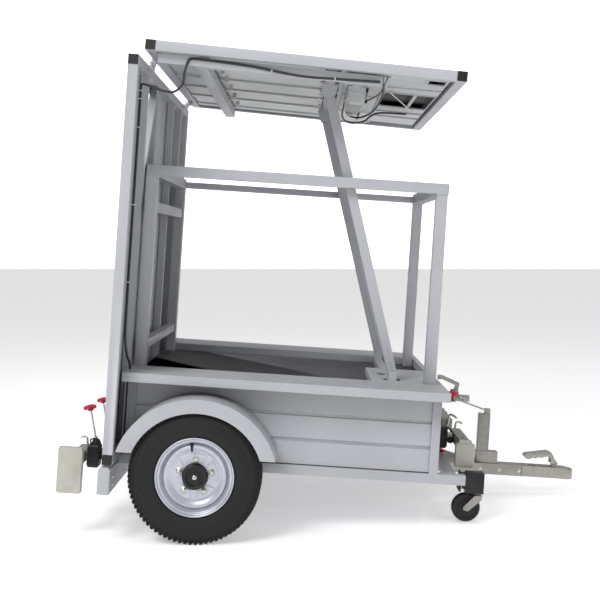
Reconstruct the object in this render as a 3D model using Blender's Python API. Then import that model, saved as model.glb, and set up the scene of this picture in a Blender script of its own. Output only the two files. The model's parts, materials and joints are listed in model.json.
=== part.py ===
"""Folding arrow board trailer, built as separate named pieces in metres, +Z up, +X towards the coupling.

The trailer stands on its two road wheels and on the front support wheel, so the whole body is
pitched a little nose down about the axle.  Body pieces are written in the body frame, whose origin
is the middle of the axle; the parent empty body_frame places and pitches them.
"""
import math

import bmesh
import bpy
from mathutils import Matrix, Vector

# ---------------------------------------------------------------- driving dimensions (metres)
TYRE_R = 0.325
TYRE_W = 0.185
RIM_R = 0.193
NOSE_DOWN = math.radians(3.76)
AXLE_X = -0.69785                   # axle, so that the origin is under the middle of the whole trailer
HALF_W = 1.1                        # boards and tyres reach this far either side
BODY_Y = 0.86                       # outside of the chassis rails
RAIL = (-0.002, 0.047)              # bottom and top of the chassis rails
BODY_X = (-0.385, 1.2036)           # rear and front faces of the tray's corner posts
RAIL_X = (-0.3995, 1.346)
SHELF_X = (-0.397, 1.227)
SHELF_Y = (0.66, 0.995)             # inner and outer edge of the side shelves
SHELF_Z = (0.429, 0.474)
CAGE_X = (-0.3925, 1.19)
CAGE_Y = 0.655
CAGE_TOP = 1.526
CAGE_TUBE = 0.06
BOARD_TUBE = 0.05
LOWER_X = (-0.4505, -0.4005)
LOWER_Z = (0.035, 2.0246)
FOLD_AT = (-0.3754, 0.0, 2.028)     # fold hinge axis in the body frame
FOLD_SLOPE = math.radians(2.1)      # upper board's slope to the body when folded
UPPER_U = (0.001, 1.565)            # upper board along its own length, from the fold axis
UPPER_N = (0.023, 0.073)            # its underside and top, above the fold axis
PROP_Y = 0.565
PROP_AT = (0.966, 0.505)            # prop pivot, x and z
PROP_LEN = 1.5675                   # from the pivot to just under the upper board's cross tube
PROP_LEAN = math.atan2(0.439, 1.492)
GAP = 0.0005                        # clearance left between touching pieces
CASTER = (1.390, -0.634, -0.1588)   # middle of the front support wheel
LOCK_AT = (1.318, -0.455)           # front lock's turning axis, x and y
REAR_JACK = {"face": -0.5925, "axis": -0.6275, "spot": 0.70, "z": -0.003, "foot": (0.0625, 0.115),
             "drop": -0.025}
FRONT_JACK = {"face": 1.3135, "axis": 1.3785, "spot": 0.30, "z": 0.145, "foot": (0.0525, 0.065),
              "drop": -0.0475}
KNOB_FOOT = (-0.5585, 0.0, 0.0838)  # the rear jacks' lock knobs lean back from here
KNOB_TOP = (-0.5975, 0.0, 0.242)

COLOURS = {
    "grey_paint": (0.40, 0.41, 0.44),
    "galvanised": (0.45, 0.45, 0.44),
    "tyre": (0.015, 0.015, 0.016),
    "rim_silver": (0.50, 0.51, 0.54),
    "black_plastic": (0.02, 0.02, 0.02),
    "black_paint": (0.015, 0.015, 0.015),
    "red_plastic": (0.45, 0.02, 0.06),
    "cable": (0.03, 0.03, 0.03),
    "silver_sheet": (0.60, 0.61, 0.62),
    "sign_face": (0.03, 0.03, 0.03),
    "steel": (0.35, 0.35, 0.36),
}


# ---------------------------------------------------------------- solids as bmeshes
def closed(bm):
    """Turn every face of a closed solid outwards."""
    bmesh.ops.recalc_face_normals(bm, faces=bm.faces)
    if bm.calc_volume(signed=True) < 0:
        bmesh.ops.reverse_faces(bm, faces=bm.faces)
    return bm


def prism(outline, axis, start, end):
    """A flat outline pushed from start to end along axis; the outline is in the other two axes."""
    bm = bmesh.new()
    place = {
        "x": lambda p, t: (t, p[0], p[1]),
        "y": lambda p, t: (p[0], t, p[1]),
        "z": lambda p, t: (p[0], p[1], t),
    }[axis]
    low = [bm.verts.new(place(p, start)) for p in outline]
    high = [bm.verts.new(place(p, end)) for p in outline]
    bm.faces.new(low)
    bm.faces.new(high[::-1])
    for i in range(len(outline)):
        j = (i + 1) % len(outline)
        bm.faces.new((low[i], high[i], high[j], low[j]))
    return closed(bm)


def box(x0, x1, y0, y1, z0, z1):
    return prism([(x0, y0), (x1, y0), (x1, y1), (x0, y1)], "z", z0, z1)


def turned(profile, sides, centre=(0, 0, 0), axis="y"):
    """A closed outline of (radius, height) points turned all the way round an axis."""
    bm = bmesh.new()
    rings = []
    for k in range(sides):
        a = 2 * math.pi * k / sides
        ring = []
        for r, h in profile:
            u = r * math.cos(a)
            v = r * math.sin(a)
            point = {"x": (h, u, v), "y": (u, h, v), "z": (u, v, h)}[axis]
            ring.append(bm.verts.new(Vector(point) + Vector(centre)))
        rings.append(ring)
    count = len(profile)
    for k in range(sides):
        near = rings[k]
        far = rings[(k + 1) % sides]
        for i in range(count):
            j = (i + 1) % count
            bm.faces.new((near[i], near[j], far[j], far[i]))
    bmesh.ops.remove_doubles(bm, verts=bm.verts, dist=1e-6)
    return closed(bm)


def rod(start, end, radius, sides=16):
    """A solid round bar between two points."""
    a = Vector(start)
    b = Vector(end)
    bm = bmesh.new()
    bmesh.ops.create_cone(bm, cap_ends=True, segments=sides, radius1=radius, radius2=radius,
                          depth=(b - a).length)
    turn = (b - a).to_track_quat("Z", "Y").to_matrix().to_4x4()
    bm.transform(Matrix.Translation((a + b) / 2) @ turn)
    return closed(bm)


def bar(start, end, width, height, up="Y"):
    """A solid square bar between two points; width lies across the axis named by up."""
    a = Vector(start)
    b = Vector(end)
    bm = box(-width / 2, width / 2, -height / 2, height / 2, -(b - a).length / 2, (b - a).length / 2)
    turn = (b - a).to_track_quat("Z", up).to_matrix().to_4x4()
    bm.transform(Matrix.Translation((a + b) / 2) @ turn)
    return closed(bm)


def star(centre, radius, lobes, z0, z1):
    """A lobed knob head about a vertical axis."""
    points = []
    for k in range(lobes * 6):
        a = 2 * math.pi * k / (lobes * 6)
        r = radius * (0.86 + 0.14 * math.cos(lobes * a))
        points.append((centre[0] + r * math.cos(a), centre[1] + r * math.sin(a)))
    return prism(points, "z", z0, z1)


# ---------------------------------------------------------------- objects
def material(name):
    mat = bpy.data.materials.new(name)
    mat.use_nodes = True
    shader = mat.node_tree.nodes["Principled BSDF"]
    shader.inputs["Base Color"].default_value = (*COLOURS[name], 1)
    shader.inputs["Metallic"].default_value = 1.0 if name in ("galvanised", "steel",
                                                              "silver_sheet") else 0.0
    shader.inputs["Roughness"].default_value = 0.45
    return mat


def as_object(name, bm):
    mesh = bpy.data.meshes.new(name)
    bm.to_mesh(mesh)
    bm.free()
    obj = bpy.data.objects.new(name, mesh)
    bpy.context.scene.collection.objects.link(obj)
    return obj


def combine(obj, bm, operation):
    """Add a solid to obj, or cut it away, and keep the result as obj's own mesh."""
    tool = as_object("tool", bm)
    step = obj.modifiers.new("combine", "BOOLEAN")
    step.operation = operation
    step.solver = "EXACT"
    step.object = tool
    graph = bpy.context.evaluated_depsgraph_get()
    result = bpy.data.meshes.new_from_object(obj.evaluated_get(graph))
    obj.modifiers.clear()
    obj.data = result
    bpy.data.objects.remove(tool)


def piece(name, slot, parent, adds, cuts=(), pivot=(0, 0, 0)):
    """One sub-part: the union of adds less cuts, its origin at pivot, under its parent empty."""
    obj = as_object(name, adds[0])
    for bm in adds[1:]:
        combine(obj, bm, "UNION")
    for bm in cuts:
        combine(obj, bm, "DIFFERENCE")
    obj.data.transform(Matrix.Translation(-Vector(pivot)))
    obj.data.materials.clear()
    obj.data.materials.append(material(slot))
    obj.location = pivot
    obj.parent = parent
    return obj


def empty(name, location, turn_y=0.0, parent=None):
    obj = bpy.data.objects.new(name, None)
    bpy.context.scene.collection.objects.link(obj)
    obj.location = location
    obj.rotation_euler = (0, turn_y, 0)
    obj.parent = parent
    return obj


# ---------------------------------------------------------------- tray and chassis
def chassis_frame(body):
    low, high = RAIL
    adds = [box(*RAIL_X, -BODY_Y, -BODY_Y + 0.05, low, high),
            box(*RAIL_X, BODY_Y - 0.05, BODY_Y, low, high)]
    for x in (-0.39, 0.40, 1.155, 1.255):
        adds.append(box(x, x + 0.05, -BODY_Y + 0.02, BODY_Y - 0.02, low + 0.001, high - 0.001))
    for side in (-1, 1):
        y0, y1 = sorted((side * (BODY_Y - 0.051), side * (BODY_Y - GAP)))
        adds.append(box(-0.4075, RAIL_X[0] + 0.02, y0, y1, low + 0.001, LOWER_Z[0] - 0.001))
        y0, y1 = sorted((side * 0.815, side * (BODY_Y - GAP)))
        for x0 in (BODY_X[0], BODY_X[1] - 0.045):
            adds.append(box(x0, x0 + 0.045, y0, y1, high - 0.02, SHELF_Z[1] - 0.004))
    piece("chassis_frame", "grey_paint", body, adds)


def tray_floor(body):
    """Floor sheet with the rear wall turned up from it."""
    floor = box(-0.3955, 1.1905, -0.81, 0.81, RAIL[1] + 0.001, RAIL[1] + 0.004)
    wall = box(-0.3995, -0.3945, -0.855, 0.855, RAIL[1] + 0.0005, SHELF_Z[0] - GAP)
    piece("tray_floor", "grey_paint", body, [floor, wall])


def side_wall(body, name, side):
    """Pressed sheet with two grooves between three flat bands."""
    outer = [0.85, 0.85, 0.84, 0.84, 0.85, 0.85, 0.84, 0.84, 0.85, 0.85]
    heights = [0.052, 0.166, 0.170, 0.180, 0.184, 0.294, 0.298, 0.308, 0.312, SHELF_Z[1] - 0.004]
    skin = [(side * y, z) for y, z in zip(outer, heights)]
    back = [(side * (y - 0.004), z) for y, z in zip(outer, heights)][::-1]
    wall = prism(skin + back, "x", BODY_X[0] + 0.045 + GAP, BODY_X[1] - 0.045 - GAP)
    piece(name, "grey_paint", body, [wall])


def front_wall(body):
    heights = [0.052, 0.166, 0.170, 0.180, 0.184, 0.294, 0.298, 0.308, 0.312, SHELF_Z[0] - GAP]
    outer = [0.0, 0.0, -0.006, -0.006, 0.0, 0.0, -0.006, -0.006, 0.0, 0.0]
    skin = [(1.2015 + x, z) for x, z in zip(outer, heights)]
    back = [(1.1985 + x, z) for x, z in zip(outer, heights)][::-1]
    piece("front_wall", "grey_paint", body, [prism(skin + back, "y", -0.813, 0.813)])


def top_shelf(body):
    """U-shaped shelf of folded sheet, open at the back, hollow underneath."""
    inner, outer = SHELF_Y
    low, high = SHELF_Z
    block = box(*SHELF_X, -outer, outer, low, high)
    mouth = box(SHELF_X[0] - 0.1, 1.195, -inner, inner, low - 0.1, high + 0.1)
    sheet = 0.003
    front = box(1.195 + sheet, SHELF_X[1] - sheet, -0.9, 0.9, low - 0.05, high - sheet)
    cuts = [mouth, front]
    for side in (-1, 1):
        y0, y1 = sorted((side * (inner + sheet), side * (outer - sheet)))
        cuts.append(box(SHELF_X[0] + sheet, SHELF_X[1] - sheet, y0, y1, low - 0.05, high - sheet))
    piece("top_shelf", "grey_paint", body, [block], cuts)


def deck_plate(body):
    """Plate over the front near quarter of the tray, with a slot and a notch for the cage post."""
    top = SHELF_Z[1]
    plate = box(0.853, 1.194, -0.6585, -0.05, top - 0.004, top)
    lip = box(0.853, 0.857, -0.6575, -0.051, top - 0.04, top - 0.001)
    notch = box(CAGE_X[1] - CAGE_TUBE - 0.003, 1.30, -0.70, -CAGE_Y + CAGE_TUBE + 0.003, top - 0.1,
                top + 0.1)
    slot = [(0.906 + 0.022 + 0.022 * math.cos(a), -0.317 + (0.025 if math.sin(a) > 0 else -0.025)
             + 0.022 * math.sin(a)) for a in [math.pi * (2 * k + 1) / 24 for k in range(24)]]
    hole = prism(slot, "z", top - 0.1, top + 0.1)
    foot = box(PROP_AT[0] - 0.045, PROP_AT[0] + 0.045, -PROP_Y - 0.036, -PROP_Y + 0.036, top - 0.1,
               top + 0.1)
    piece("deck_plate", "grey_paint", body, [plate, lip], [notch, hole, foot])


def cage_frame(body):
    """Four posts under a welded ring whose side rails are shallower than its ends."""
    x0, x1 = CAGE_X
    t = CAGE_TUBE
    ring = box(x0, x1, -CAGE_Y, CAGE_Y, CAGE_TOP - t, CAGE_TOP)
    window = box(x0 + t, x1 - t, -CAGE_Y + t, CAGE_Y - t, CAGE_TOP - 0.2, CAGE_TOP + 0.2)
    reach = CAGE_Y + 0.01
    far_top = box(x0 + t, x1 - t, CAGE_Y - t - 0.01, reach, CAGE_TOP - 0.016, CAGE_TOP + 0.01)
    undersides = box(x0 + t, x1 - t, -reach, reach, CAGE_TOP - t - 0.01, CAGE_TOP - t + 0.006)
    adds = [ring]
    for side in (-1, 1):
        y0, y1 = sorted((side * (CAGE_Y - 0.0005), side * (CAGE_Y - t + 0.0005)))
        for x in (x0, x1 - t):
            adds.append(box(x + 0.0005, x + t - 0.0005, y0, y1, RAIL[1] + 0.0045, CAGE_TOP - 0.01))
    for z0, z1 in ((1.28, 1.335), (0.555, 0.60)):
        adds.append(box(x0 + 0.004, x0 + 0.05, -CAGE_Y + 0.03, CAGE_Y - 0.03, z0, z1))
    piece("cage_frame", "grey_paint", body, adds, [window, far_top, undersides])


# ---------------------------------------------------------------- axle, wheels and fenders
def axle_beam(body):
    adds = [box(0.06, 0.12, -0.87, 0.87, -0.065, -0.005)]
    for side in (-1, 1):
        outline = [(0.12, -0.065), (0.12, -0.01), (0.02, 0.035), (-0.035, 0.02), (-0.03, -0.03),
                   (0.04, -0.065)]
        y0, y1 = sorted((side * 0.8625, side * 0.888))
        adds.append(prism(outline, "y", y0, y1))
        adds.append(rod((0, side * 0.87, 0), (0, side * 1.03, 0), 0.018, 20))
    piece("axle_beam", "black_paint", body, adds)


def tyre(body, name, side):
    """Road tyre with a rounded shoulder, seated on the rim barrel."""
    w = HALF_W
    points = [(0.181, w - 0.0185), (0.196, w - 0.0185), (0.208, w - 0.006), (0.240, w), (0.285, w - 0.006),
              (0.315, w - 0.018), (0.325, w - 0.050), (0.325, w - TYRE_W + 0.050),
                   (0.315, w - TYRE_W + 0.018),
              (0.285, w - TYRE_W + 0.006), (0.240, w - TYRE_W), (0.208, w - TYRE_W + 0.006),
              (0.196, w - 0.1635), (0.181, w - 0.1635)]
    piece(name, "tyre", body, [turned([(r, side * y) for r, y in points], 60)])


def rim(body, name, side):
    """Pressed steel rim: two lips, a well and a dished centre with five stud holes."""
    w = HALF_W
    points = [(RIM_R, w - 0.010), (RIM_R, w - 0.014), (0.1795, w - 0.0165), (0.1795, w - 0.165),
              (RIM_R, w - 0.171), (RIM_R, w - 0.175), (0.170, w - 0.170), (0.160, w - 0.115),
              (0.146, w - 0.060), (0.120, w - 0.050), (0.062, w - 0.051), (0.062, w - 0.045),
              (0.118, w - 0.044), (0.150, w - 0.032), (0.158, w - 0.040), (0.170, w - 0.030),
              (0.178, w - 0.012)]
    cuts = [rod((0.083 * math.cos(a), side * (w - 0.1), 0.083 * math.sin(a)),
                (0.083 * math.cos(a), side * w, 0.083 * math.sin(a)), 0.008, 8)
            for a in [math.radians(90 + 72 * k) for k in range(5)]]
    piece(name, "rim_silver", body, [turned([(r, side * y) for r, y in points], 48)], cuts)


def hub(body, name, side):
    """Wheel hub: bearing barrel, flange, five studs with nuts, and the round centre cap."""
    w = HALF_W
    points = [(0.0, w - 0.006), (0.050, w - 0.008), (0.0605, w - 0.016), (0.0605, w - 0.056),
              (0.098, w - 0.056),
              (0.098, w - 0.068), (0.045, w - 0.070), (0.045, w - 0.135), (0.0, w - 0.135)]
    adds = [turned([(r, side * y) for r, y in points], 30)]
    for k in range(5):
        a = math.radians(90 + 72 * k)
        c = (0.083 * math.cos(a), 0.083 * math.sin(a))
        adds.append(rod((c[0], side * (w - 0.061), c[1]), (c[0], side * (w - 0.026), c[1]), 0.0062, 8))
        adds.append(rod((c[0], side * (w - 0.0425), c[1]), (c[0], side * (w - 0.029), c[1]), 0.0115, 6))
    bore = rod((0, side * (w - 0.20), 0), (0, side * (w - 0.064), 0), 0.0187, 20)
    piece(name, "black_paint", body, adds, [bore])


def fender(body, name, side):
    """Half-round mudguard of L section, cut off level above the axle."""
    points = [(0.402, 0.8635), (0.402, 1.108), (0.330, 1.108), (0.330, 1.105), (0.399, 1.105),
              (0.399, 0.8665),
              (0.372, 0.8665), (0.372, 0.8635)]
    ring = turned([(r, side * y) for r, y in points], 96)
    ring.transform(Matrix.Diagonal((1, 1, 0.945, 1)))
    below = box(-0.6, 0.6, -1.3, 1.3, -0.6, 0.103)
    piece(name, "grey_paint", body, [ring], [below])


# ---------------------------------------------------------------- drawbar, coupling and front gear
def drawbar(body):
    adds = [box(0.25, 1.80, -0.04, 0.04, -0.1002, -0.0365)]
    for x in (0.405, 1.165, 1.262):
        adds.append(box(x, x + 0.04, -0.035, 0.035, -0.05, RAIL[0] - GAP))
    for side in (-1, 1):
        adds.append(bar((1.27, side * 0.25, -0.030), (1.56, side * 0.01, -0.066), 0.045, 0.05, "Y"))
    cut = box(1.0, 1.9, -1.2, 1.2, RAIL[0] - GAP, 0.2)
    piece("drawbar", "galvanised", body, adds, [cut])


def coupling_head(body):
    nose = turned([(0.0, -0.0995), (0.044, -0.0995), (0.044, -0.046), (0.034, -0.039), (0.0, -0.036)], 32,
                  (2.056, 0, 0), "z")
    adds = [box(1.8005, 2.06, -0.0435, 0.0435, -0.098, -0.0365), nose]
    adds.append(box(1.975, 2.005, -0.02, 0.02, -0.045, -0.020))
    cuts = [turned([(0.0, -0.20), (0.027, -0.20), (0.027, -0.075), (0.018, -0.060), (0.0, -0.055)], 24,
                   (2.05, 0, 0), "z")]
    piece("coupling_head", "galvanised", body, adds, cuts)


def coupling_handle(body):
    """Lever that lifts at its free end; the grip's underside is scalloped for fingers."""
    outline = [(1.810, 0.024), (1.822, 0.031), (1.945, 0.052), (1.968, 0.046), (1.988, 0.012),
               (2.008, -0.012),
               (2.010, -0.018), (1.965, -0.018), (1.965, 0.010), (1.950, 0.024), (1.930, 0.020),
                   (1.912, 0.012),
               (1.895, 0.016), (1.878, 0.006), (1.860, 0.011), (1.843, 0.001), (1.822, 0.003),
                   (1.810, 0.012)]
    lever = prism(outline, "y", -0.034, 0.034)
    fork = box(1.955, 2.05, -0.0215, 0.0215, -0.05, 0.03)
    piece("coupling_handle", "galvanised", body, [lever], [fork], (1.99, 0, -0.008))


def drawbar_post(body):
    """Galvanised box on the drawbar carrying an upright channel and a stay up to the shelf."""
    adds = [box(1.53, 1.655, -0.032, 0.032, -0.036, 0.030), box(1.535, 1.60, -0.026, 0.026, 0.02, 0.245)]
    adds.append(box(1.568, 1.600, -0.016, 0.016, 0.235, 0.275))
    adds.append(bar((1.585, -0.005, 0.262), (1.2345, -0.30, 0.395), 0.018, 0.008, "Y"))
    adds.append(box(1.2275, 1.236, -0.335, -0.265, 0.375, 0.425))
    cuts = [box(1.56, 1.70, -0.018, 0.018, 0.05, 0.225)]
    piece("drawbar_post", "galvanised", body, adds, cuts)


def front_lock(body):
    """Square tube under the shelf's front corner with a turning lever and a star knob."""
    x, y = LOCK_AT
    tube = [box(1.2275, 1.40, y - 0.02, y + 0.02, 0.370, 0.402),
            box(1.2275, 1.236, y - 0.05, y + 0.05, 0.365, 0.4275)]
    tube.append(rod((x, y, 0.398), (x, y, 0.4085), 0.016))
    tube.append(box(x - 0.028, x, y - 0.075, y - 0.015, 0.371, 0.377))
    piece("front_lock_bracket", "galvanised", body, tube)
    lever = [rod((x, y, 0.409), (x, y, 0.430), 0.022, 20)]
    lever.append(bar((x + 0.006, y, 0.424), (x + 0.016, y, 0.464), 0.02, 0.020))
    lever.append(bar((x + 0.020, y, 0.458), (x - 0.075, y, 0.494), 0.02, 0.020))
    lever.append(rod((x - 0.070, y, 0.493), (x - 0.095, y, 0.492), 0.012))
    piece("front_lock_lever", "galvanised", body, lever, (), (x, y, 0.409))
    kx, ky = x - 0.014, y - 0.058
    knob = [rod((kx, ky, 0.3775), (kx, ky, 0.41), 0.006, 12), star((kx, ky), 0.030, 5, 0.405, 0.424)]
    piece("front_lock_knob", "red_plastic", body, knob, (), (kx, ky, 0.3775))


def caster(body):
    """Front support wheel: plate on the rail end, swivel housing, fork and solid wheel."""
    x, y, z = CASTER
    adds = [box(1.3465, 1.354, y - 0.04, y + 0.045, -0.075, 0.026)]
    adds.append(box(1.352, 1.384, y - 0.028, y + 0.028, -0.06, 0.018))
    adds.append(box(1.38, 1.475, y - 0.034, y + 0.034, -0.082, 0.026))
    adds.append(box(1.34, 1.356, y - 0.03, y + 0.03, -0.066, -0.003))
    piece("caster_bracket", "black_paint", body, adds)
    pivot = (1.452, y, z)
    fork = [rod((1.452, y, -0.096), (1.452, y, -0.083), 0.016, 20),
            box(1.434, 1.470, y - 0.033, y + 0.033, -0.098, -0.092)]
    for side in (-1, 1):
        outline = [(1.470, -0.093), (1.430, -0.093), (x - 0.016, z + 0.004), (x - 0.014, z - 0.012),
                   (x + 0.010, z - 0.016), (1.466, -0.115)]
        y0, y1 = sorted((y + side * 0.028, y + side * 0.033))
        fork.append(prism(outline, "y", y0, y1))
    fork.append(rod((x, y - 0.036, z), (x, y + 0.036, z), 0.006, 12))
    piece("caster_fork", "galvanised", body, fork, (), pivot)
    wheel = turned([(0.0065, -0.025), (0.0065, 0.025), (0.02, 0.025), (0.05, 0.016), (0.062, 0.019),
                    (0.070, 0.018), (0.0748, 0.010), (0.0748, -0.010), (0.070, -0.018), (0.062, -0.019),
                    (0.05, -0.016), (0.02, -0.025)], 32, (x, y, z), "y")
    piece("caster_wheel", "black_plastic", body, [wheel], (), (x, y, z))


# ---------------------------------------------------------------- boards
def lower_board(body):
    x0, x1 = LOWER_X
    z0, z1 = LOWER_Z
    t = BOARD_TUBE
    adds = [box(x0, x1, -HALF_W, HALF_W, z0, z0 + t), box(x0, x1, -HALF_W, HALF_W, z1 - t, z1)]
    for side in (-1, 1):
        y0, y1 = sorted((side * (HALF_W - 0.001), side * (HALF_W - t)))
        adds.append(box(x0 + GAP, x1 - GAP, y0, y1, z0 + 0.02, z1 - 0.02))
    for y in (-0.74, -0.37, 0.33, 0.70):
        adds.append(box(x0 + 0.009, x1 - 0.001, y, y + 0.04, z0 + 0.02, z1 - 0.02))
    adds.append(bar((-0.4215, -0.355, 1.985), (-0.4215, -0.72, 1.33), 0.035, 0.035, "X"))
    for side in (-1, 1):
        y0, y1 = sorted((side * 0.745, side * 0.795))
        adds.append(box(x1 - 0.02, FOLD_AT[0] + 0.004, y0, y1, FOLD_AT[2] - 0.030, FOLD_AT[2] - 0.0045))
        adds.append(rod((FOLD_AT[0], y0, FOLD_AT[2]), (FOLD_AT[0], y1, FOLD_AT[2]), 0.010))
        pin0, pin1 = sorted((side * 0.76, side * 0.84))
        adds.append(rod((FOLD_AT[0], pin0, FOLD_AT[2]), (FOLD_AT[0], pin1, FOLD_AT[2]), 0.0045, 12))
    trim = box(x0 - 0.1, x0 + 0.0085, -1.04, 1.04, z0 + t + 0.002, z1 - t - 0.002)
    piece("lower_board_frame", "grey_paint", body, adds, [trim])
    sheet = box(x0 + 0.002, x0 + 0.005, -1.0495, 1.0495, z0 + t + GAP, z1 - t - GAP)
    window = prism([(-0.6995, 1.93), (-0.375, 1.93), (-0.6995, 1.355)], "x", x0 - 0.1, x1 + 0.1)
    piece("lower_board_sheet", "silver_sheet", body, [sheet], [window])


def upper_board(fold):
    """Folded upper board in its own frame: u along it, n up from the fold axis."""
    u0, u1 = UPPER_U
    n0, n1 = UPPER_N
    t = BOARD_TUBE
    adds = [box(u0, u0 + t, -HALF_W, HALF_W, n0, n1), box(u1 - t, u1, -HALF_W, HALF_W, n0, n1)]
    for side in (-1, 1):
        y0, y1 = sorted((side * (HALF_W - 0.001), side * (HALF_W - t)))
        adds.append(box(u0 + 0.02, u1 - 0.02, y0, y1, n0 + GAP, n1 - GAP))
    adds.append(box(0.885, 0.935, -HALF_W + 0.02, HALF_W - 0.02, n0 + 0.001, n1 - 0.012))
    for side in (-1, 1):
        y0, y1 = sorted((side * 0.7955, side * 0.835))
        adds.append(box(-0.0025, 0.03, y0, y1, 0.0, n0 + 0.004))
        adds.append(rod((0, y0, 0), (0, y1, 0), 0.010))
    bores = [rod((0, -0.9, 0), (0, -0.7, 0), 0.0052, 12), rod((0, 0.7, 0), (0, 0.9, 0), 0.0052, 12)]
    piece("upper_board_frame", "grey_paint", fold, adds, bores)
    face = [box(u0 + t + GAP, u1 - t - GAP, -1.0495, 1.0495, n1 - 0.006, n1 - 0.003)]
    for u, y in arrow_lamps():
        face.append(turned([(0.0, n1 - 0.005), (0.055, n1 - 0.005), (0.055, n1 + 0.006), (0.0, n1 + 0.012)],
                           12, (u, y, 0), "z"))
    piece("upper_sign_face", "sign_face", fold, face)


def arrow_lamps():
    """Centres of the fifteen lamps that draw a left-pointing arrow on the upper board."""
    shaft = [(0.78, -0.85 + 0.21 * k) for k in range(9)]
    head = [(0.78 + s * 0.17 * k, -0.85 + 0.17 * k) for k in (1, 2, 3) for s in (-1, 1)]
    return shaft + head


def upper_gear(fold):
    """What hangs under the folded board: ribbed sheet, cross bar, long beam and the lamp controller."""
    back = [box(0.12, 0.86, -0.98, 0.98, 0.0385, 0.0405)]
    for y in (-0.88, -0.60, -0.32, -0.04, 0.24, 0.52, 0.80):
        back.append(box(0.13, 0.85, y, y + 0.05, 0.028, 0.0395))
    piece("upper_back_sheet", "silver_sheet", fold, back)
    front = box(0.96, 1.50, -0.98, 0.98, 0.038, 0.041)
    holes = [box(1.215, 1.49, -0.41, 0.14, -0.1, 0.1), box(1.40, 1.485, -0.95, -0.82, -0.1, 0.1)]
    piece("upper_front_sheet", "silver_sheet", fold, [front], holes)
    beams = [box(0.24, 0.30, -1.0, 1.0, -0.030, 0.020), box(0.262, 0.278, -0.9, 0.95, 0.015, 0.0275)]
    beams.append(box(0.06, 1.163, -1.045, -0.995, -0.026, 0.0185))
    piece("hanging_beam", "grey_paint", fold, beams)
    box_adds = [box(1.005, 1.105, -0.62, -0.12, -0.048, 0.0205),
                box(1.02, 1.09, -0.60, -0.48, -0.060, -0.045)]
    box_adds.append(box(1.03, 1.08, -0.64, -0.10, 0.0195, 0.0375))
    piece("lamp_controller", "galvanised", fold, box_adds)


def props(body):
    """Two props from the deck to the upper board, on one base bar with lugs."""
    x, z = PROP_AT
    lean = Vector((-math.sin(PROP_LEAN), 0, math.cos(PROP_LEAN)))
    base = [box(x - 0.025, x + 0.025, -0.6555, 0.6555, 0.425, 0.465)]
    for side in (-1, 1):
        for y in (side * PROP_Y - 0.0325, side * PROP_Y + 0.0265):
            base.append(box(x - 0.022, x + 0.022, y, y + 0.006, 0.44, z + 0.016))
        base.append(rod((x, side * PROP_Y - 0.030, z), (x, side * PROP_Y + 0.030, z), 0.006, 12))
    piece("prop_base", "grey_paint", body, base)
    for side, name in ((-1, "prop_near"), (1, "prop_far")):
        foot = Vector((x, side * PROP_Y, z))
        leg = bar(foot - lean * 0.022, foot + lean * PROP_LEN, 0.05, 0.05, "Y")
        bore = rod(foot - Vector((0, 0.1, 0)), foot + Vector((0, 0.1, 0)), 0.0066, 12)
        piece(name, "grey_paint", body, [leg], [bore], foot)


# ---------------------------------------------------------------- rear bar and jacks
def rear_bar(body):
    outline = [(-0.466, -0.110), (-0.408, -0.110), (-0.408, 0.012), (-0.420, 0.024), (-0.454, 0.024),
               (-0.466, 0.010)]
    adds = [prism(outline, "y", -HALF_W, HALF_W)]
    piece("rear_bar", "grey_paint", body, adds)


def jack_beam(spots, x0, x1, z, bar_x):
    """Cross bar with the two black swivel housings that the jacks turn on."""
    solids = [box(*bar_x, spots[0], spots[1], z - 0.02, z + 0.02)]
    for y in spots:
        solids.append(box(x0, x1, y - 0.045, y + 0.045, z - 0.058, z + 0.062))
    return solids


def jacks(body):
    """Four swivel jacks, stowed sideways, on a rear and a front cross bar."""
    spot, z = REAR_JACK["spot"], REAR_JACK["z"]
    rear = jack_beam((-spot, spot), -0.5925, -0.530, z, (-0.5405, -0.4665))
    for y in (-spot, spot):
        rear.append(rod((-0.5525, y, z + 0.05), (-0.5575, y, z + 0.086), 0.021))
    piece("jack_beam_rear", "black_paint", body, rear)
    spot, z = FRONT_JACK["spot"], FRONT_JACK["z"]
    front = jack_beam((-spot, spot), 1.2635, 1.3135, z, (1.2755, 1.2955))
    front.append(box(1.204, 1.285, -spot + 0.02, spot - 0.02, z - 0.018, z + 0.018))
    piece("jack_beam_front", "black_paint", body, front)
    for side, tag in ((-1, "near"), (1, "far")):
        jack(body, "rear_" + tag, REAR_JACK, -1, side)
        jack(body, "front_" + tag, FRONT_JACK, 1, side)
        y = side * REAR_JACK["spot"]
        knob = [rod(KNOB_FOOT, KNOB_TOP, 0.006, 12)]
        head = star((0, 0), 0.034, 5, -0.010, 0.010)
        along = (Vector(KNOB_TOP) - Vector(KNOB_FOOT)).to_track_quat("Z", "Y").to_matrix().to_4x4()
        head.transform(Matrix.Translation(KNOB_TOP) @ along)
        knob.append(head)
        for bm in knob:
            bm.transform(Matrix.Translation((0, y, 0)))
        piece("jack_knob_rear_" + tag, "red_plastic", body, knob, (), (KNOB_FOOT[0], y, KNOB_FOOT[2]))
        y, top = side * FRONT_JACK["spot"], FRONT_JACK["z"] - 0.0585
        knob = [rod((1.2885, y, top), (1.2885, y, top - 0.02), 0.006, 12),
                star((1.2885, y), 0.028, 5, top - 0.03, top - 0.014)]
        piece("jack_knob_front_" + tag, "red_plastic", body, knob, (), (1.2885, y, top))


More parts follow.
